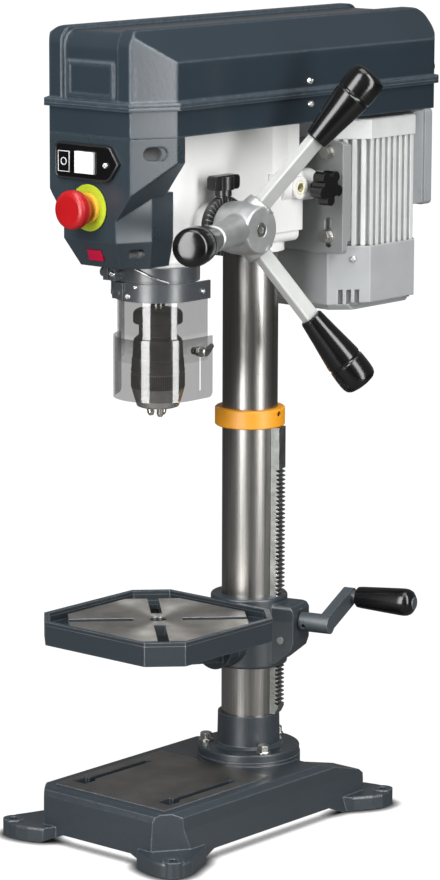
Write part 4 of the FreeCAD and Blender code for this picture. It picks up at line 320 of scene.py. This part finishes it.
def lathe(shape, profile, place, steps=56, closed=False, stretch=0.0):
    """Adds a body turned about the place's Z from pairs of radius and height.

    Its two halves are pulled apart along X by stretch.
    """
    rings = []
    for radius, height in profile:
        ring = []
        for k in range(steps if radius > 0.0 else 1):
            turn = 2.0 * math.pi * (k + 0.5) / steps
            half = math.copysign(stretch / 2, math.cos(turn)) if radius > 0.0 else 0.0
            spot = Vector((radius * math.cos(turn) + half, radius * math.sin(turn), height))
            ring.append(shape.verts.new(place @ spot))
        rings.append(ring)
    pairs = list(zip(rings, rings[1:])) + ([(rings[-1], rings[0])] if closed else [])
    for low, high in pairs:
        for k in range(steps):
            after = (k + 1) % steps
            corners = (low[k % len(low)], low[after % len(low)], high[after % len(high)], high[k % len(high)])
            shape.faces.new(list(dict.fromkeys(corners)))
    return [vert for ring in rings for vert in ring]


def made(name, shape, body, slot, finish, *replaced, sharp=35.0):
    """The bmesh as a smooth piece with its finish, riding on its body."""
    mesh = bpy.data.meshes.new(name)
    bmesh.ops.recalc_face_normals(shape, faces=shape.faces)
    shape.to_mesh(mesh)
    shape.free()
    mesh.shade_smooth()
    mesh.set_sharp_from_angle(angle=math.radians(sharp))
    mesh.materials.append(finish.material)
    piece = bpy.data.objects.new(name, mesh)
    bpy.context.scene.collection.objects.link(piece)
    if replaced:
        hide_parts(*replaced)
    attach(piece, body)
    return piece


handle_root = (0.08235, 0.16675, 0.2299)
handle_way = (0.9659, 0.2588, 0.0)
crank_handle = bmesh.new()
lathe(
    crank_handle,
    [
        (0.0, 0.0), (0.0098, 0.0), (0.0113, 0.0014), (0.0119, 0.006), (0.0135, 0.030),
        (0.0149, 0.052), (0.0150, 0.0565), (0.0144, 0.0605), (0.0128, 0.0638), (0.0098, 0.0662),
        (0.0052, 0.0674), (0.0, 0.0677),
    ],
    facing(handle_root, handle_way),
)
made("crank_handle_grip", crank_handle, "crank_handle", "black_plastic", grip_black, "crank_grip")


# Work table: a square iron casting with a raised rim and a coolant channel, enamelled outside.
# The square pad inside the channel is milled with rings about its centre hole and left bare.

table_finish = enamel("table_slate", slate, slate_edge, edge=0.0016, relief=0.0002)
table_up = table_finish.axis("Z")
spindle_y = -0.07
pad_top = 0.235
pad = (table_up > pad_top - 0.0003) * (table_up < pad_top + 0.0003)
pad_middle = (0.0, spindle_y, pad_top)
milled(table_finish, pad, pad_middle, tone(150, 147, 142), tone(198, 195, 190), pitch=0.0008, cut=1.6)
# The turned rings stretch the pad's highlights into fans.
for socket, value in (("Anisotropic", 0.85), ("Anisotropic Rotation", 0.25)):
    table_finish.shader.inputs[socket].default_value = value
table_finish.dress("work_table")


# Head: the iron casting that carries quill, feed shaft and motor rods, sprayed off-white.
# The motor's slide plate hangs on its two rods behind, in mid grey, and a cream bush lines one rod's bore, with a
# dark disc behind it as painted shade inside the bore.

head_white = tone(222, 222, 220)
head_edge = tone(238, 238, 237)
head_finish = enamel("head_white", head_white, head_edge, grain=320.0, relief=0.00015, edge=0.0022)
head_finish.dress("head_casting")
enamel("plate_grey", tone(132, 134, 134), tone(178, 180, 180), rough=0.4, edge=0.0015).dress("motor_plate")

rod_y = 0.104
rod_z = 0.6835
bush_shape = bmesh.new()
lathe(
    bush_shape,
    [(0.0048, 0.0), (0.0074, 0.0), (0.0074, 0.0062), (0.0068, 0.0068), (0.0054, 0.0068), (0.0048, 0.0062)],
    facing((0.0428, rod_y, rod_z), (1, 0, 0)), closed=True,
)
made("rod_bush", bush_shape, "stand", "head_paint", moulded("bush_cream", tone(226, 219, 186), rough=0.4))
# Painted shade: a dark disc set inside the bore, behind the bush, stands for the shade in the hole.
bore_shade_shape = bmesh.new()
lathe(
    bore_shade_shape, [(0.0, 0.0), (0.0074, 0.0), (0.0074, 0.002), (0.0060, 0.0034), (0.0, 0.0036)],
    facing((0.0390, rod_y, rod_z), (1, 0, 0)),
)
made("rod_bush_plug", bore_shade_shape, "stand", "head_paint", moulded("bush_dark", tone(34, 32, 29), rough=0.5))


# Quill and spindle: ground bright steel running in ball bearings.
# The motor's shaft and rotor are ground the same way.

ground = plated("ground_steel", tone(196, 195, 190), rough=0.16)
ground.dress("quill", "quill_bearings", "spindle", "motor_rotor")


# Chuck: hardened steel, oil blackened, with its nose cone ground bright again.
# The grip rings are knurled in straight lines, and the jaw tips are bare.

chuck = Finish("chuck_black", {"Metallic": 1.0})
chuck_normal, chuck_edges = chuck.rounded(0.0006)
chuck_x, chuck_y, chuck_z = [chuck.axis(letter) for letter in "XYZ"]
chuck_turn = chuck_x.math("ARCTAN2", chuck_y - spindle_y, chuck_x)
chuck_oil = chuck.noise(130.0, 5.0, 0.65)
knurl_ridges = 90.0
knurl_low, knurl_high, nose_top, fade = 0.4865, 0.5005, 0.4857, 0.0005
knurl = chuck_x.math("SINE", chuck_turn * knurl_ridges)
knurl_band = chuck.span(chuck_z, knurl_low, knurl_low + fade)
knurl_band = knurl_band * chuck.span(chuck_z, knurl_high, knurl_high - fade)
nose = chuck.span(chuck_z, nose_top, nose_top - fade)
chuck_dark = chuck.mix(chuck_oil, tone(46, 44, 42), tone(88, 85, 82))
# Painted highlight: the rounded edges are mixed towards a paler steel colour.
chuck.feed(
    Base_Color=chuck.mix(chuck_edges, chuck.mix(nose, chuck_dark, tone(196, 193, 188)), tone(176, 173, 170)),
    Roughness=(0.50 + 0.16 * chuck_oil) * (1 - nose) + (0.24 + 0.06 * chuck_oil) * nose,
    Normal=chuck.bump(knurl * knurl_band, 0.0003, chuck_normal),
)

holder_shape = bmesh.new()
lathe(
    holder_shape,
    [
        (0.0, 0.4645), (0.0185, 0.4645), (0.0200, 0.4665), (0.0200, 0.5174), (0.0262, 0.5174),
        (0.0267, 0.5182), (0.0260, 0.5310), (0.0260, 0.5338), (0.0253, 0.5348), (0.0253, 0.5362),
        (0.0240, 0.5376), (0.0200, 0.5410), (0.0200, 0.5530), (0.0205, 0.5535), (0.0250, 0.5535),
        (0.0260, 0.5548), (0.0260, 0.5635), (0.0248, 0.5660), (0.0220, 0.5680), (0.0, 0.5680),
    ],
    facing((0.0, spindle_y, 0.0), (0, 0, 1)), steps=96,
)
made("chuck_holder", holder_shape, "spindle", "chuck_steel", chuck, "chuck_body")
grip_sleeve = bmesh.new()
lathe(
    grip_sleeve,
    [
        (0.0203, 0.4655), (0.0214, 0.4655), (0.0222, 0.4661), (0.0252, 0.4755), (0.0273, 0.4832),
        (0.0279, 0.4852), (0.0284, 0.4864), (0.0284, 0.5006), (0.0277, 0.5012), (0.0277, 0.5026),
        (0.0284, 0.5032), (0.0284, 0.5050), (0.0278, 0.5060), (0.0273, 0.5164), (0.0268, 0.5170),
        (0.0203, 0.5170),
    ],
    facing((0.0, spindle_y, 0.0), (0, 0, 1)), steps=96, closed=True,
)
made("chuck_grip_sleeve", grip_sleeve, "sleeve", "chuck_steel", chuck, "chuck_sleeve")
jaw_bare = plated("jaw_bare", tone(200, 197, 190), rough=0.2)
jaw_bare.dress("chuck_jaw_rear", "chuck_jaw_left", "chuck_jaw_right")


# Feed handwheel: a die-cast hub, three flat bright spokes and three moulded grips.
# The black depth ring behind the hub turns with a wing knob and carries a scale.

hub = Finish("hub_silver", {"Metallic": 0.75})
hub_normal, hub_edges = hub.rounded(0.0010)
hub_clouds = hub.noise(60.0, 4.0, 0.6)
hub_body = hub.mix(hub_clouds, tone(150, 152, 152), tone(180, 182, 182))
# Painted highlight: the rounded edges are mixed towards a brighter silver.
hub.feed(
    Base_Color=hub.mix(hub_edges, hub_body, tone(214, 215, 215)),
    Roughness=0.38 + 0.12 * hub_clouds,
    Normal=hub.bump(hub.noise(800.0, 3.0, 0.6), 0.00006, hub_normal),
)
hub.dress("feed_hub", "idler_pulley", "spindle_pulley", "motor_pulley")

# Each spoke is given by its turn round the shaft and how far its boss reaches; all lean outwards.
wheel_middle = Vector((0.085, -0.0355, 0.657))
wheel_lean = math.radians(26.0)
hub_shape = bmesh.new()
grip_shape = bmesh.new()
lathe(
    hub_shape,
    [
        (0.0, -0.0205), (0.0225, -0.0205), (0.0262, -0.017), (0.0275, -0.008), (0.0280, 0.004),
        (0.0268, 0.013), (0.0250, 0.021), (0.0240, 0.0262), (0.0232, 0.027), (0.0073, 0.027),
        (0.0073, 0.019), (0.0, 0.019),
    ],
    facing(wheel_middle, (1.0, 0.0, 0.0)), steps=96,
)
for wheel_turn, boss_end in ((58.2, 0.034), (178.2, 0.117), (298.2, 0.034)):
    turned = math.radians(wheel_turn)
    reach = math.cos(wheel_lean)
    spoke_way = (math.sin(wheel_lean), reach * math.cos(turned), reach * math.sin(turned))
    spoke_root = facing(wheel_middle, spoke_way)
    lathe(
        hub_shape,
        [
            (0.0, 0.0), (0.0200, 0.0), (0.0192, 0.012), (0.0172, 0.022), (0.0150, 0.034),
            (0.0136, boss_end - 0.002), (0.0112, boss_end), (0.0, boss_end + 0.001),
        ],
        spoke_root,
    )
    lathe(
        grip_shape,
        [
            (0.0, 0.1180), (0.0112, 0.1180), (0.0124, 0.1192), (0.0130, 0.124), (0.0150, 0.141),
            (0.0172, 0.158), (0.0190, 0.1722), (0.0192, 0.1752), (0.0184, 0.1764), (0.0184, 0.1782),
            (0.0194, 0.1794), (0.0198, 0.188), (0.0197, 0.196), (0.0192, 0.2008), (0.0178, 0.2043),
            (0.0152, 0.2064), (0.0110, 0.2075), (0.0050, 0.2080), (0.0, 0.2080),
        ],
        spoke_root,
    )

# The voxel remesh and the smoothing run the three bosses into the hub, as one casting.
hub_piece = made("feed_hub_cast", hub_shape, "feed", "cast_aluminium", hub, "feed_hub")
blended = hub_piece.modifiers.new("blended", "REMESH")
blended.mode = "VOXEL"
blended.voxel_size = 0.0008
blended.use_smooth_shade = True
softened = hub_piece.modifiers.new("softened", "SMOOTH")
softened.factor = 0.5
softened.iterations = 5
made("feed_grips_moulded", grip_shape, "feed", "black_plastic", grip_black, "feed_grips")

spoke = Finish("spoke_satin", {"Metallic": 0.2, "Specular IOR Level": 0.3})
spoke_normal, spoke_edges = spoke.rounded(0.0008)
spoke_clouds = spoke.noise(70.0, 4.0, 0.6)
spoke_body = spoke.mix(spoke_clouds, tone(150, 151, 149), tone(168, 169, 167))
# Painted highlight: the rounded edges are mixed towards a brighter grey.
spoke.feed(
    Base_Color=spoke.mix(spoke_edges, spoke_body, tone(200, 200, 199)),
    Roughness=0.46 + 0.12 * spoke_clouds,
    Normal=spoke.bump(spoke.noise(700.0, 3.0, 0.6), 0.00004, spoke_normal),
)
spoke.dress("feed_spokes")
knob_black = moulded("knob_black", tone(14, 14, 15), rough=0.26, relief=0.00006)
knob_black.dress("depth_knob", "tension_knob", "lid_knob")

scale_black = Finish("scale_black", glossy)
scale_x, scale_y, scale_z = [scale_black.axis(letter) for letter in "XYZ"]
scale_turn = scale_x.math("ARCTAN2", scale_z - wheel_middle.z, scale_y - wheel_middle.y)
tick_count = 36.0
tick_start = 0.0610
ticks = (scale_x.math("SINE", scale_turn * tick_count) > 0.94) * (scale_x > tick_start)
scale_grain = scale_black.noise(600.0, 3.0)
scale_black.feed(
    Base_Color=scale_black.mix(ticks, tone(12, 12, 13), tone(150, 150, 148)),
    Roughness=0.28 + 0.12 * scale_grain,
    Normal=scale_black.bump(scale_grain, 0.00004, scale_black.rounded(0.0008)[0]),
)
scale_black.dress("depth_ring")


# Belt drive: two rubber belts between three stepped pulleys, inside the cover.
# The rubber is worn matt and grey with dust.

belt = Finish("belt_rubber", {"Metallic": 0.0})
belt_dust = belt.noise(90.0, 5.0, 0.65)
belt.feed(
    Base_Color=belt.mix(belt_dust, tone(20, 20, 21), tone(48, 47, 45)),
    Roughness=0.62 + 0.2 * belt_dust,
    Normal=belt.bump(belt.noise(1200.0, 3.0, 0.6), 0.0001, belt.rounded(0.0006)[0]),
)
belt.dress("drive_belts")


# Belt cover: a drawn steel housing bolted on the head and a hinged lid, in gloss slate blue.
# Each has one pan-head screw in its right side.

cover_slate = tone(34, 43, 50)
cover_edge = tone(88, 98, 106)
for finish_name, rough, edge, node in (
    ("lid_gloss", 0.22, 0.0045, "belt_lid"), ("housing_gloss", 0.24, 0.0028, "belt_housing"),
):
    gloss = enamel(finish_name, cover_slate, cover_edge, rough, 260.0, 0.00005, edge, scuffed=0.02)
    gloss.shader.inputs["Specular IOR Level"].default_value = 0.6
    gloss.dress(node)

screw_bright = plated("screw_bright", tone(226, 226, 224), rough=0.2)


def pan_screw(name, origin, way, radius, height, body):
    """A pan-head screw: a domed head on that spot, lowered where the cross recess is."""
    head = bmesh.new()
    rings = 16
    dome = [(radius * share / rings, height * (1.0 - (share / rings) ** 4)) for share in range(rings, -1, -1)]
    for vert in lathe(head, [(0.0, -0.0002), (radius, -0.0002)] + dome, Matrix(), steps=64):
        narrow, wide = sorted((abs(vert.co.x), abs(vert.co.y)))
        if vert.co.z > height * 0.3 and narrow < radius * 0.15 and wide < radius * 0.62:
            vert.co.z -= height * 0.5
    head.transform(facing(origin, way))
    return made(name, head, body, "zinc_steel", screw_bright)


cover_side = 0.0795
pan_screw("lid_side_screw", (cover_side, 0.0805, 0.8005), (1, 0, 0), radius=0.0040, height=0.0026, body="lid")
pan_screw(
    "cover_side_screw", (cover_side, 0.0825, 0.7765), (1, 0, 0),
    radius=0.0040, height=0.0026, body="stand",
)


# Control panel: a moulded face below the housing's front, with a start and stop switch,
# an emergency stop and a red rocker switch. Shallow oval holes sink into its slanted sides, each lined with a
# black dish as painted shade.

panel = moulded("panel_slate", tone(38, 47, 53), rough=0.26, texture=600.0, relief=0.00004, edge=0.0024)
panel.dress("control_panel")
gloss_black = moulded("gloss_black", tone(11, 11, 12), rough=0.12, edge=0.0016)
gloss_black.dress("switch_plate", "stop_button")
moulded("start_white", tone(226, 226, 224), rough=0.25).dress("start_button")
mark_grey = moulded("mark_grey", tone(176, 178, 180), rough=0.3)
rim_black = moulded("rim_black", tone(30, 31, 33), rough=0.16)
pan_screw("switch_screw", (0.026, -0.1796, 0.729), (0, -1, 0), radius=0.0032, height=0.0014, body="stand")


def wire(name, points, thick, body, finish, closed=False, kind="POLY"):
    """A round wire or bead of radius thick through the points."""
    curve = bpy.data.curves.new(name, "CURVE")
    curve.dimensions = "3D"
    curve.bevel_depth = thick
    curve.bevel_resolution = 4
    curve.use_fill_caps = not closed
    line = curve.splines.new(kind)
    line.points.add(len(points) - 1)
    for knot, point in zip(line.points, points):
        knot.co = (*point, 1.0)
    line.use_cyclic_u = closed
    if kind == "NURBS":
        line.use_endpoint_u = not closed
        line.order_u = 3
        line.resolution_u = 8
    curve.materials.append(finish.material)
    piece = bpy.data.objects.new(name, curve)
    bpy.context.scene.collection.objects.link(piece)
    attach(piece, body)
    return piece


def loop(x, z, reach, count=28):
    """Points round a circle in the plane of X and Z."""
    turns = [2 * math.pi * k / count for k in range(count)]
    return [(x + reach * math.cos(turn), z + reach * math.sin(turn)) for turn in turns]


def bead(name, outline, y, thick, body, finish, closed=True):
    """A raised line on the panel's front, through pairs of X and Z."""
    return wire(name, [(x, y, z) for x, z in outline], thick, body, finish, closed)


rim_outline = [
    (-0.0428, 0.716), (-0.0394, 0.713), (0.0255, 0.713), (0.0312, 0.7158), (0.0418, 0.731),
    (0.0312, 0.7462), (0.0255, 0.748), (-0.0394, 0.748), (-0.0428, 0.745),
]
bead("switch_rim", rim_outline, -0.1782, 0.0013, "stand", rim_black)
stop_face = -0.1818
stop_outline = [(-0.0363, 0.7197), (-0.0212, 0.7197), (-0.0212, 0.7403), (-0.0363, 0.7403)]
bead("stop_frame", stop_outline, stop_face, 0.0006, "stop", mark_grey)
bead("stop_mark", loop(-0.0288, 0.7300, 0.0036), stop_face, 0.0006, "stop", mark_grey)
start_line = [(-0.002, 0.7262), (-0.002, 0.7338)]
bead("start_mark", start_line, -0.1817, 0.0005, "start", mark_grey, closed=False)

# Painted shade: a black dish sunk in each oval hole stands for the shade inside it.
hole_black = moulded("hole_black", tone(15, 16, 17), rough=0.5)
for side, mirror in (("right", Matrix()), ("left", Matrix.Scale(-1.0, 4, (1.0, 0.0, 0.0)))):
    for level, centre, turn, reach, length, depth in (
        ("upper", (0.0652, -0.1555, 0.7413), 61.0, 0.0068, 0.012, 0.00155),
        ("lower", (0.0390, -0.1535, 0.6383), 62.0, 0.0038, 0.009, 0.00135),
    ):
        turned = math.radians(turn)
        outward = (math.sin(turned), -math.cos(turned), 0.0)
        dish = bmesh.new()
        lathe(
            dish,
            [
                (0.0, -depth), (reach, -depth), (reach, -depth * 0.15), (reach * 0.9, -depth * 0.5),
                (reach * 0.7, -depth * 0.8), (reach * 0.3, -depth * 0.9), (0.0, -depth * 0.92),
            ],
            mirror @ facing(centre, outward, (math.cos(turned), math.sin(turned), 0.0)), stretch=length,
        )
        made("grip_hole_" + level + "_" + side, dish, "stand", "panel_plastic", hole_black)
moulded("stop_red", tone(148, 12, 18), rough=0.26, edge=0.002).dress("emergency_button")
moulded("rocker_red", tone(150, 6, 44), rough=0.16).dress("rocker_switch")

collar_finish = Finish("collar_rings", {"Specular IOR Level": 0.4})
collar_front = collar_finish.axis("Y")
ring_front = -0.1769
collar_grain = collar_finish.noise(260.0, 3.0)
olive = collar_finish.mix(collar_grain, tone(132, 146, 30), tone(168, 182, 44))
amber = collar_finish.mix(collar_grain, tone(216, 150, 40), tone(240, 186, 74))
collar_finish.feed(
    Base_Color=collar_finish.mix(collar_finish.span(collar_front, ring_front, ring_front - 0.0003), olive, amber),
    Roughness=0.34 + 0.1 * collar_grain,
    Normal=collar_finish.bump(collar_grain, 0.00003, collar_finish.rounded(0.0006)[0]),
)
collar_finish.dress("emergency_collar")


# Chuck guard: a dark steel band on a split clamp, with two smoked plastic shields.
# The lower shield slides on a wing screw.

guard_steel = enamel("guard_grey", tone(60, 64, 68), tone(118, 121, 124), 0.30, relief=0.00005, edge=0.0008)
guard_steel.dress("guard_clamp", "guard_bracket")

washer_shape = bmesh.new()
lathe(
    washer_shape, [(0.0340, 0.0), (0.0438, 0.0), (0.0438, 0.0018), (0.0340, 0.0018)],
    facing((0.0, spindle_y, 0.5996), (0, 0, 1)), steps=96, closed=True,
)
made("guard_washer", washer_shape, "stand", "collar_paint", guard_steel)

spring_steel = plated("spring_steel", tone(206, 206, 203), rough=0.22)
spring_reach = 0.0456
spring_points = []
for turn, height in ((-80.0, 0.6150), (-71.0, 0.6128), (-60.0, 0.6085), (-46.0, 0.6040), (-34.0, 0.6012)):
    away = math.radians(turn)
    spring_points.append((spring_reach * math.cos(away), spindle_y + spring_reach * math.sin(away), height))
wire("guard_spring", spring_points, 0.0011, "stand", spring_steel, kind="NURBS")

pan_screw(
    "clamp_ear_screw", (-0.0172, -0.1220, 0.6085), (0, -1, 0),
    radius=0.0036, height=0.0022, body="stand",
)
pan_screw(
    "guard_screw_left", (-0.0020, -0.1150, 0.5858), (-0.03, -1, 0),
    radius=0.0034, height=0.0020, body="guard",
)
pan_screw(
    "guard_screw_middle", (0.0080, -0.1142, 0.5962), (0.215, -0.977, 0),
    radius=0.0026, height=0.0018, body="guard",
)
pan_screw(
    "guard_screw_right", (0.0470, -0.0520, 0.5893), (1, 0, 0),
    radius=0.0024, height=0.0014, body="guard",
)


def smoked(name, low, high, clear, dark):
    """Smoked acrylic: dark tint from clear at height low to dark at height high, with fine wipe marks."""
    sheet = Finish(name, {"Specular IOR Level": 1.0, "Coat Weight": 1.0, "Coat Roughness": 0.05})
    wipes = sheet.noise(75.0, 5.0, 0.7)
    sheet.feed(
        Base_Color=sheet.mix(wipes, tone(36, 36, 35), tone(58, 57, 56)),
        Roughness=0.05 + 0.10 * wipes,
        Alpha=sheet.span(sheet.axis("Z"), low, high, clear, dark) + 0.04 * (wipes - 0.5),
    )
    return sheet


smoked("upper_smoked", 0.522, 0.546, 0.10, 0.42).dress("upper_shield")
smoked("lower_smoked", 0.470, 0.480, 0.40, 0.40).dress("lower_shield")


# Motor: a finned aluminium body with a light cap, and a moulded grey cowl over its fan.
# The cowl has a vent screen and a screw on each slanted corner; the terminal box is behind.

fins = Finish("fin_silver", {"Metallic": 0.2, "Specular IOR Level": 0.35})
fin_normal, fin_edges = fins.rounded(0.0012)
fin_clouds = fins.noise(40.0, 4.0, 0.6)
fin_body = fins.mix(fin_clouds, tone(180, 182, 182), tone(206, 207, 206))
# Painted highlight: the rounded edges are mixed towards a near-white silver.
fins.feed(
    Base_Color=fins.mix(fin_edges, fin_body, tone(226, 226, 225)),
    Roughness=0.38 + 0.14 * fin_clouds,
    Normal=fins.bump(fins.noise(500.0, 3.0, 0.6), 0.0001, fin_normal),
)
fins.dress("motor_housing")
cowl = moulded("cowl_grey", tone(154, 156, 157), rough=0.30, texture=500.0, relief=0.00006, edge=0.0028)
cowl.dress("motor_cowl")
moulded("box_grey", tone(144, 147, 149), rough=0.26, relief=0.00005, edge=0.0028).dress("terminal_box")

screen_grey = moulded("screen_grey", tone(104, 106, 107), rough=0.4)
motor_y = 0.235
vent_height = 0.558
vent_reach = 0.0742
screw_height = 0.600
screw_reach = 0.0800
screw_shift = 0.0046
corners = (("front_right", -45.0), ("back_right", 45.0), ("back_left", 135.0), ("front_left", 225.0))
for corner, quarter in corners:
    turned = math.radians(quarter)
    away = Vector((math.cos(turned), math.sin(turned), 0.0))
    across = Vector((-away.y, away.x, 0.0))
    screen = bmesh.new()
    bmesh.ops.create_cube(screen, size=1.0)
    bmesh.ops.scale(screen, vec=(0.0255, 0.020, 0.0016), verts=screen.verts)
    bmesh.ops.bevel(screen, geom=screen.edges, offset=0.0004, segments=2, affect="EDGES")
    screen.transform(facing(Vector((0.0, motor_y, vent_height)) + away * vent_reach, away, across))
    made("vent_screen_" + corner, screen, "motor", "cowl_plastic", screen_grey)
    spot = Vector((0.0, motor_y, screw_height)) + away * screw_reach + across * screw_shift
    pan_screw("cowl_screw_" + corner, spot, away, radius=0.0036, height=0.0016, body="motor")


# Studio: a plain pale floor, two tall soft lamps, one above, and a camera at the photograph's angle.
# The lens sees floor and room as white paper, darkened by a painted contact shadow close round the object; the
# object is lit by the lamps and a grey room.


def seen_or_lit(tree, seen, lit):
    """Mixes two shaders: the first for what the lens sees directly, the second for all other light."""
    path = tree.nodes.new("ShaderNodeLightPath")
    mixed = tree.nodes.new("ShaderNodeMixShader")
    tree.links.new(path.outputs["Is Camera Ray"], mixed.inputs[0])
    tree.links.new(lit, mixed.inputs[1])
    tree.links.new(seen, mixed.inputs[2])
    return mixed.outputs[0]


def glow(tree, kind, colour, strength):
    """The output of a new light-giving node of that kind."""
    lit = tree.nodes.new(kind)
    lit.inputs["Color"].default_value = colour
    lit.inputs["Strength"].default_value = strength
    return lit.outputs[0]


white = (1.0, 1.0, 1.0, 1.0)
painted_contact_shadow = (0.008, 0.008, 0.008, 1.0)
contact_reach = 0.013
contact_fade = 4.5
paper_glow = 1.05
room_glow = 0.20
floor_finish = Finish("floor_white", {"Roughness": 0.8})
floor_grey = floor_finish.mix(floor_finish.noise(0.5), (0.12, 0.12, 0.12, 1.0), (0.14, 0.14, 0.14, 1.0))
floor_finish.feed(Base_Color=floor_grey)
floor_tree = floor_finish.tree
# Painted shadow: the paper's glow darkens to black where ambient occlusion finds the object within contact_reach.
openness = floor_finish.node("ShaderNodeAmbientOcclusion", {"samples": 8}, white, contact_reach, out=1)
paper = floor_tree.nodes.new("ShaderNodeEmission")
paper_colour = floor_finish.mix(openness ** contact_fade, painted_contact_shadow, white)
floor_tree.links.new(paper_colour.socket, paper.inputs["Color"])
paper.inputs["Strength"].default_value = paper_glow
floor_tree.links.new(
    seen_or_lit(floor_tree, paper.outputs[0], floor_finish.shader.outputs[0]),
    floor_tree.nodes["Material Output"].inputs["Surface"],
)
bpy.ops.mesh.primitive_plane_add(size=60.0, location=(0.0, 0.0, -0.0005))
floor = bpy.context.object
floor.name = "floor"
floor.data.materials.append(floor_finish.material)

world = bpy.data.worlds.new("studio")
world.use_nodes = True
room = world.node_tree
room_grey = glow(room, "ShaderNodeBackground", white, room_glow)
room.links.new(
    seen_or_lit(room, glow(room, "ShaderNodeBackground", white, 1.0), room_grey),
    room.nodes["World Output"].inputs["Surface"],
)
bpy.context.scene.world = world

camera_turn = math.radians(40.578)
middle = Vector((0.0, 0.05, 0.42))


def softbox(name, turn, height, distance, width, tall, power):
    """A soft rectangular lamp at that turn round the object, aimed at its middle."""
    lamp = bpy.data.lights.new(name, "AREA")
    lamp.shape = "RECTANGLE"
    lamp.size = width
    lamp.size_y = tall
    lamp.energy = power
    holder = bpy.data.objects.new(name, lamp)
    bpy.context.scene.collection.objects.link(holder)
    angle = camera_turn + math.radians(turn)
    holder.location = middle + Vector((math.sin(angle) * distance, -math.cos(angle) * distance, height))
    holder.rotation_euler = (middle - holder.location).to_track_quat("-Z", "Y").to_euler()


softbox("right_lamp", turn=44.0, height=0.64, distance=1.4, width=0.5, tall=2.1, power=36.0)
softbox("left_lamp", turn=-32.0, height=0.64, distance=1.4, width=0.62, tall=2.1, power=47.0)
softbox("top_lamp", turn=20.0, height=2.4, distance=0.4, width=1.4, tall=1.4, power=26.0)

lift = math.radians(10.841)
roll = math.radians(0.177)
camera_distance = 3.8672
right = Vector((math.cos(camera_turn), math.sin(camera_turn), 0.0))
target = right * -0.03233 + Vector((0.0, 0.080, 0.40697))
level = math.cos(lift)
back = Vector((math.sin(camera_turn) * level, -math.cos(camera_turn) * level, math.sin(lift)))
up = back.cross(right).normalized()
rolled_right = right * math.cos(roll) + up * math.sin(roll)
rolled_up = up * math.cos(roll) - right * math.sin(roll)
lens = bpy.data.cameras.new("camera")
lens.lens = 145.96
lens.sensor_width = 36.0
camera = bpy.data.objects.new("camera", lens)
bpy.context.scene.collection.objects.link(camera)
tripod = Matrix((rolled_right, rolled_up, back)).transposed().to_4x4()
tripod.translation = target + back * camera_distance
camera.matrix_world = tripod
bpy.context.scene.camera = camera
bpy.context.scene.view_settings.view_transform = "Standard"
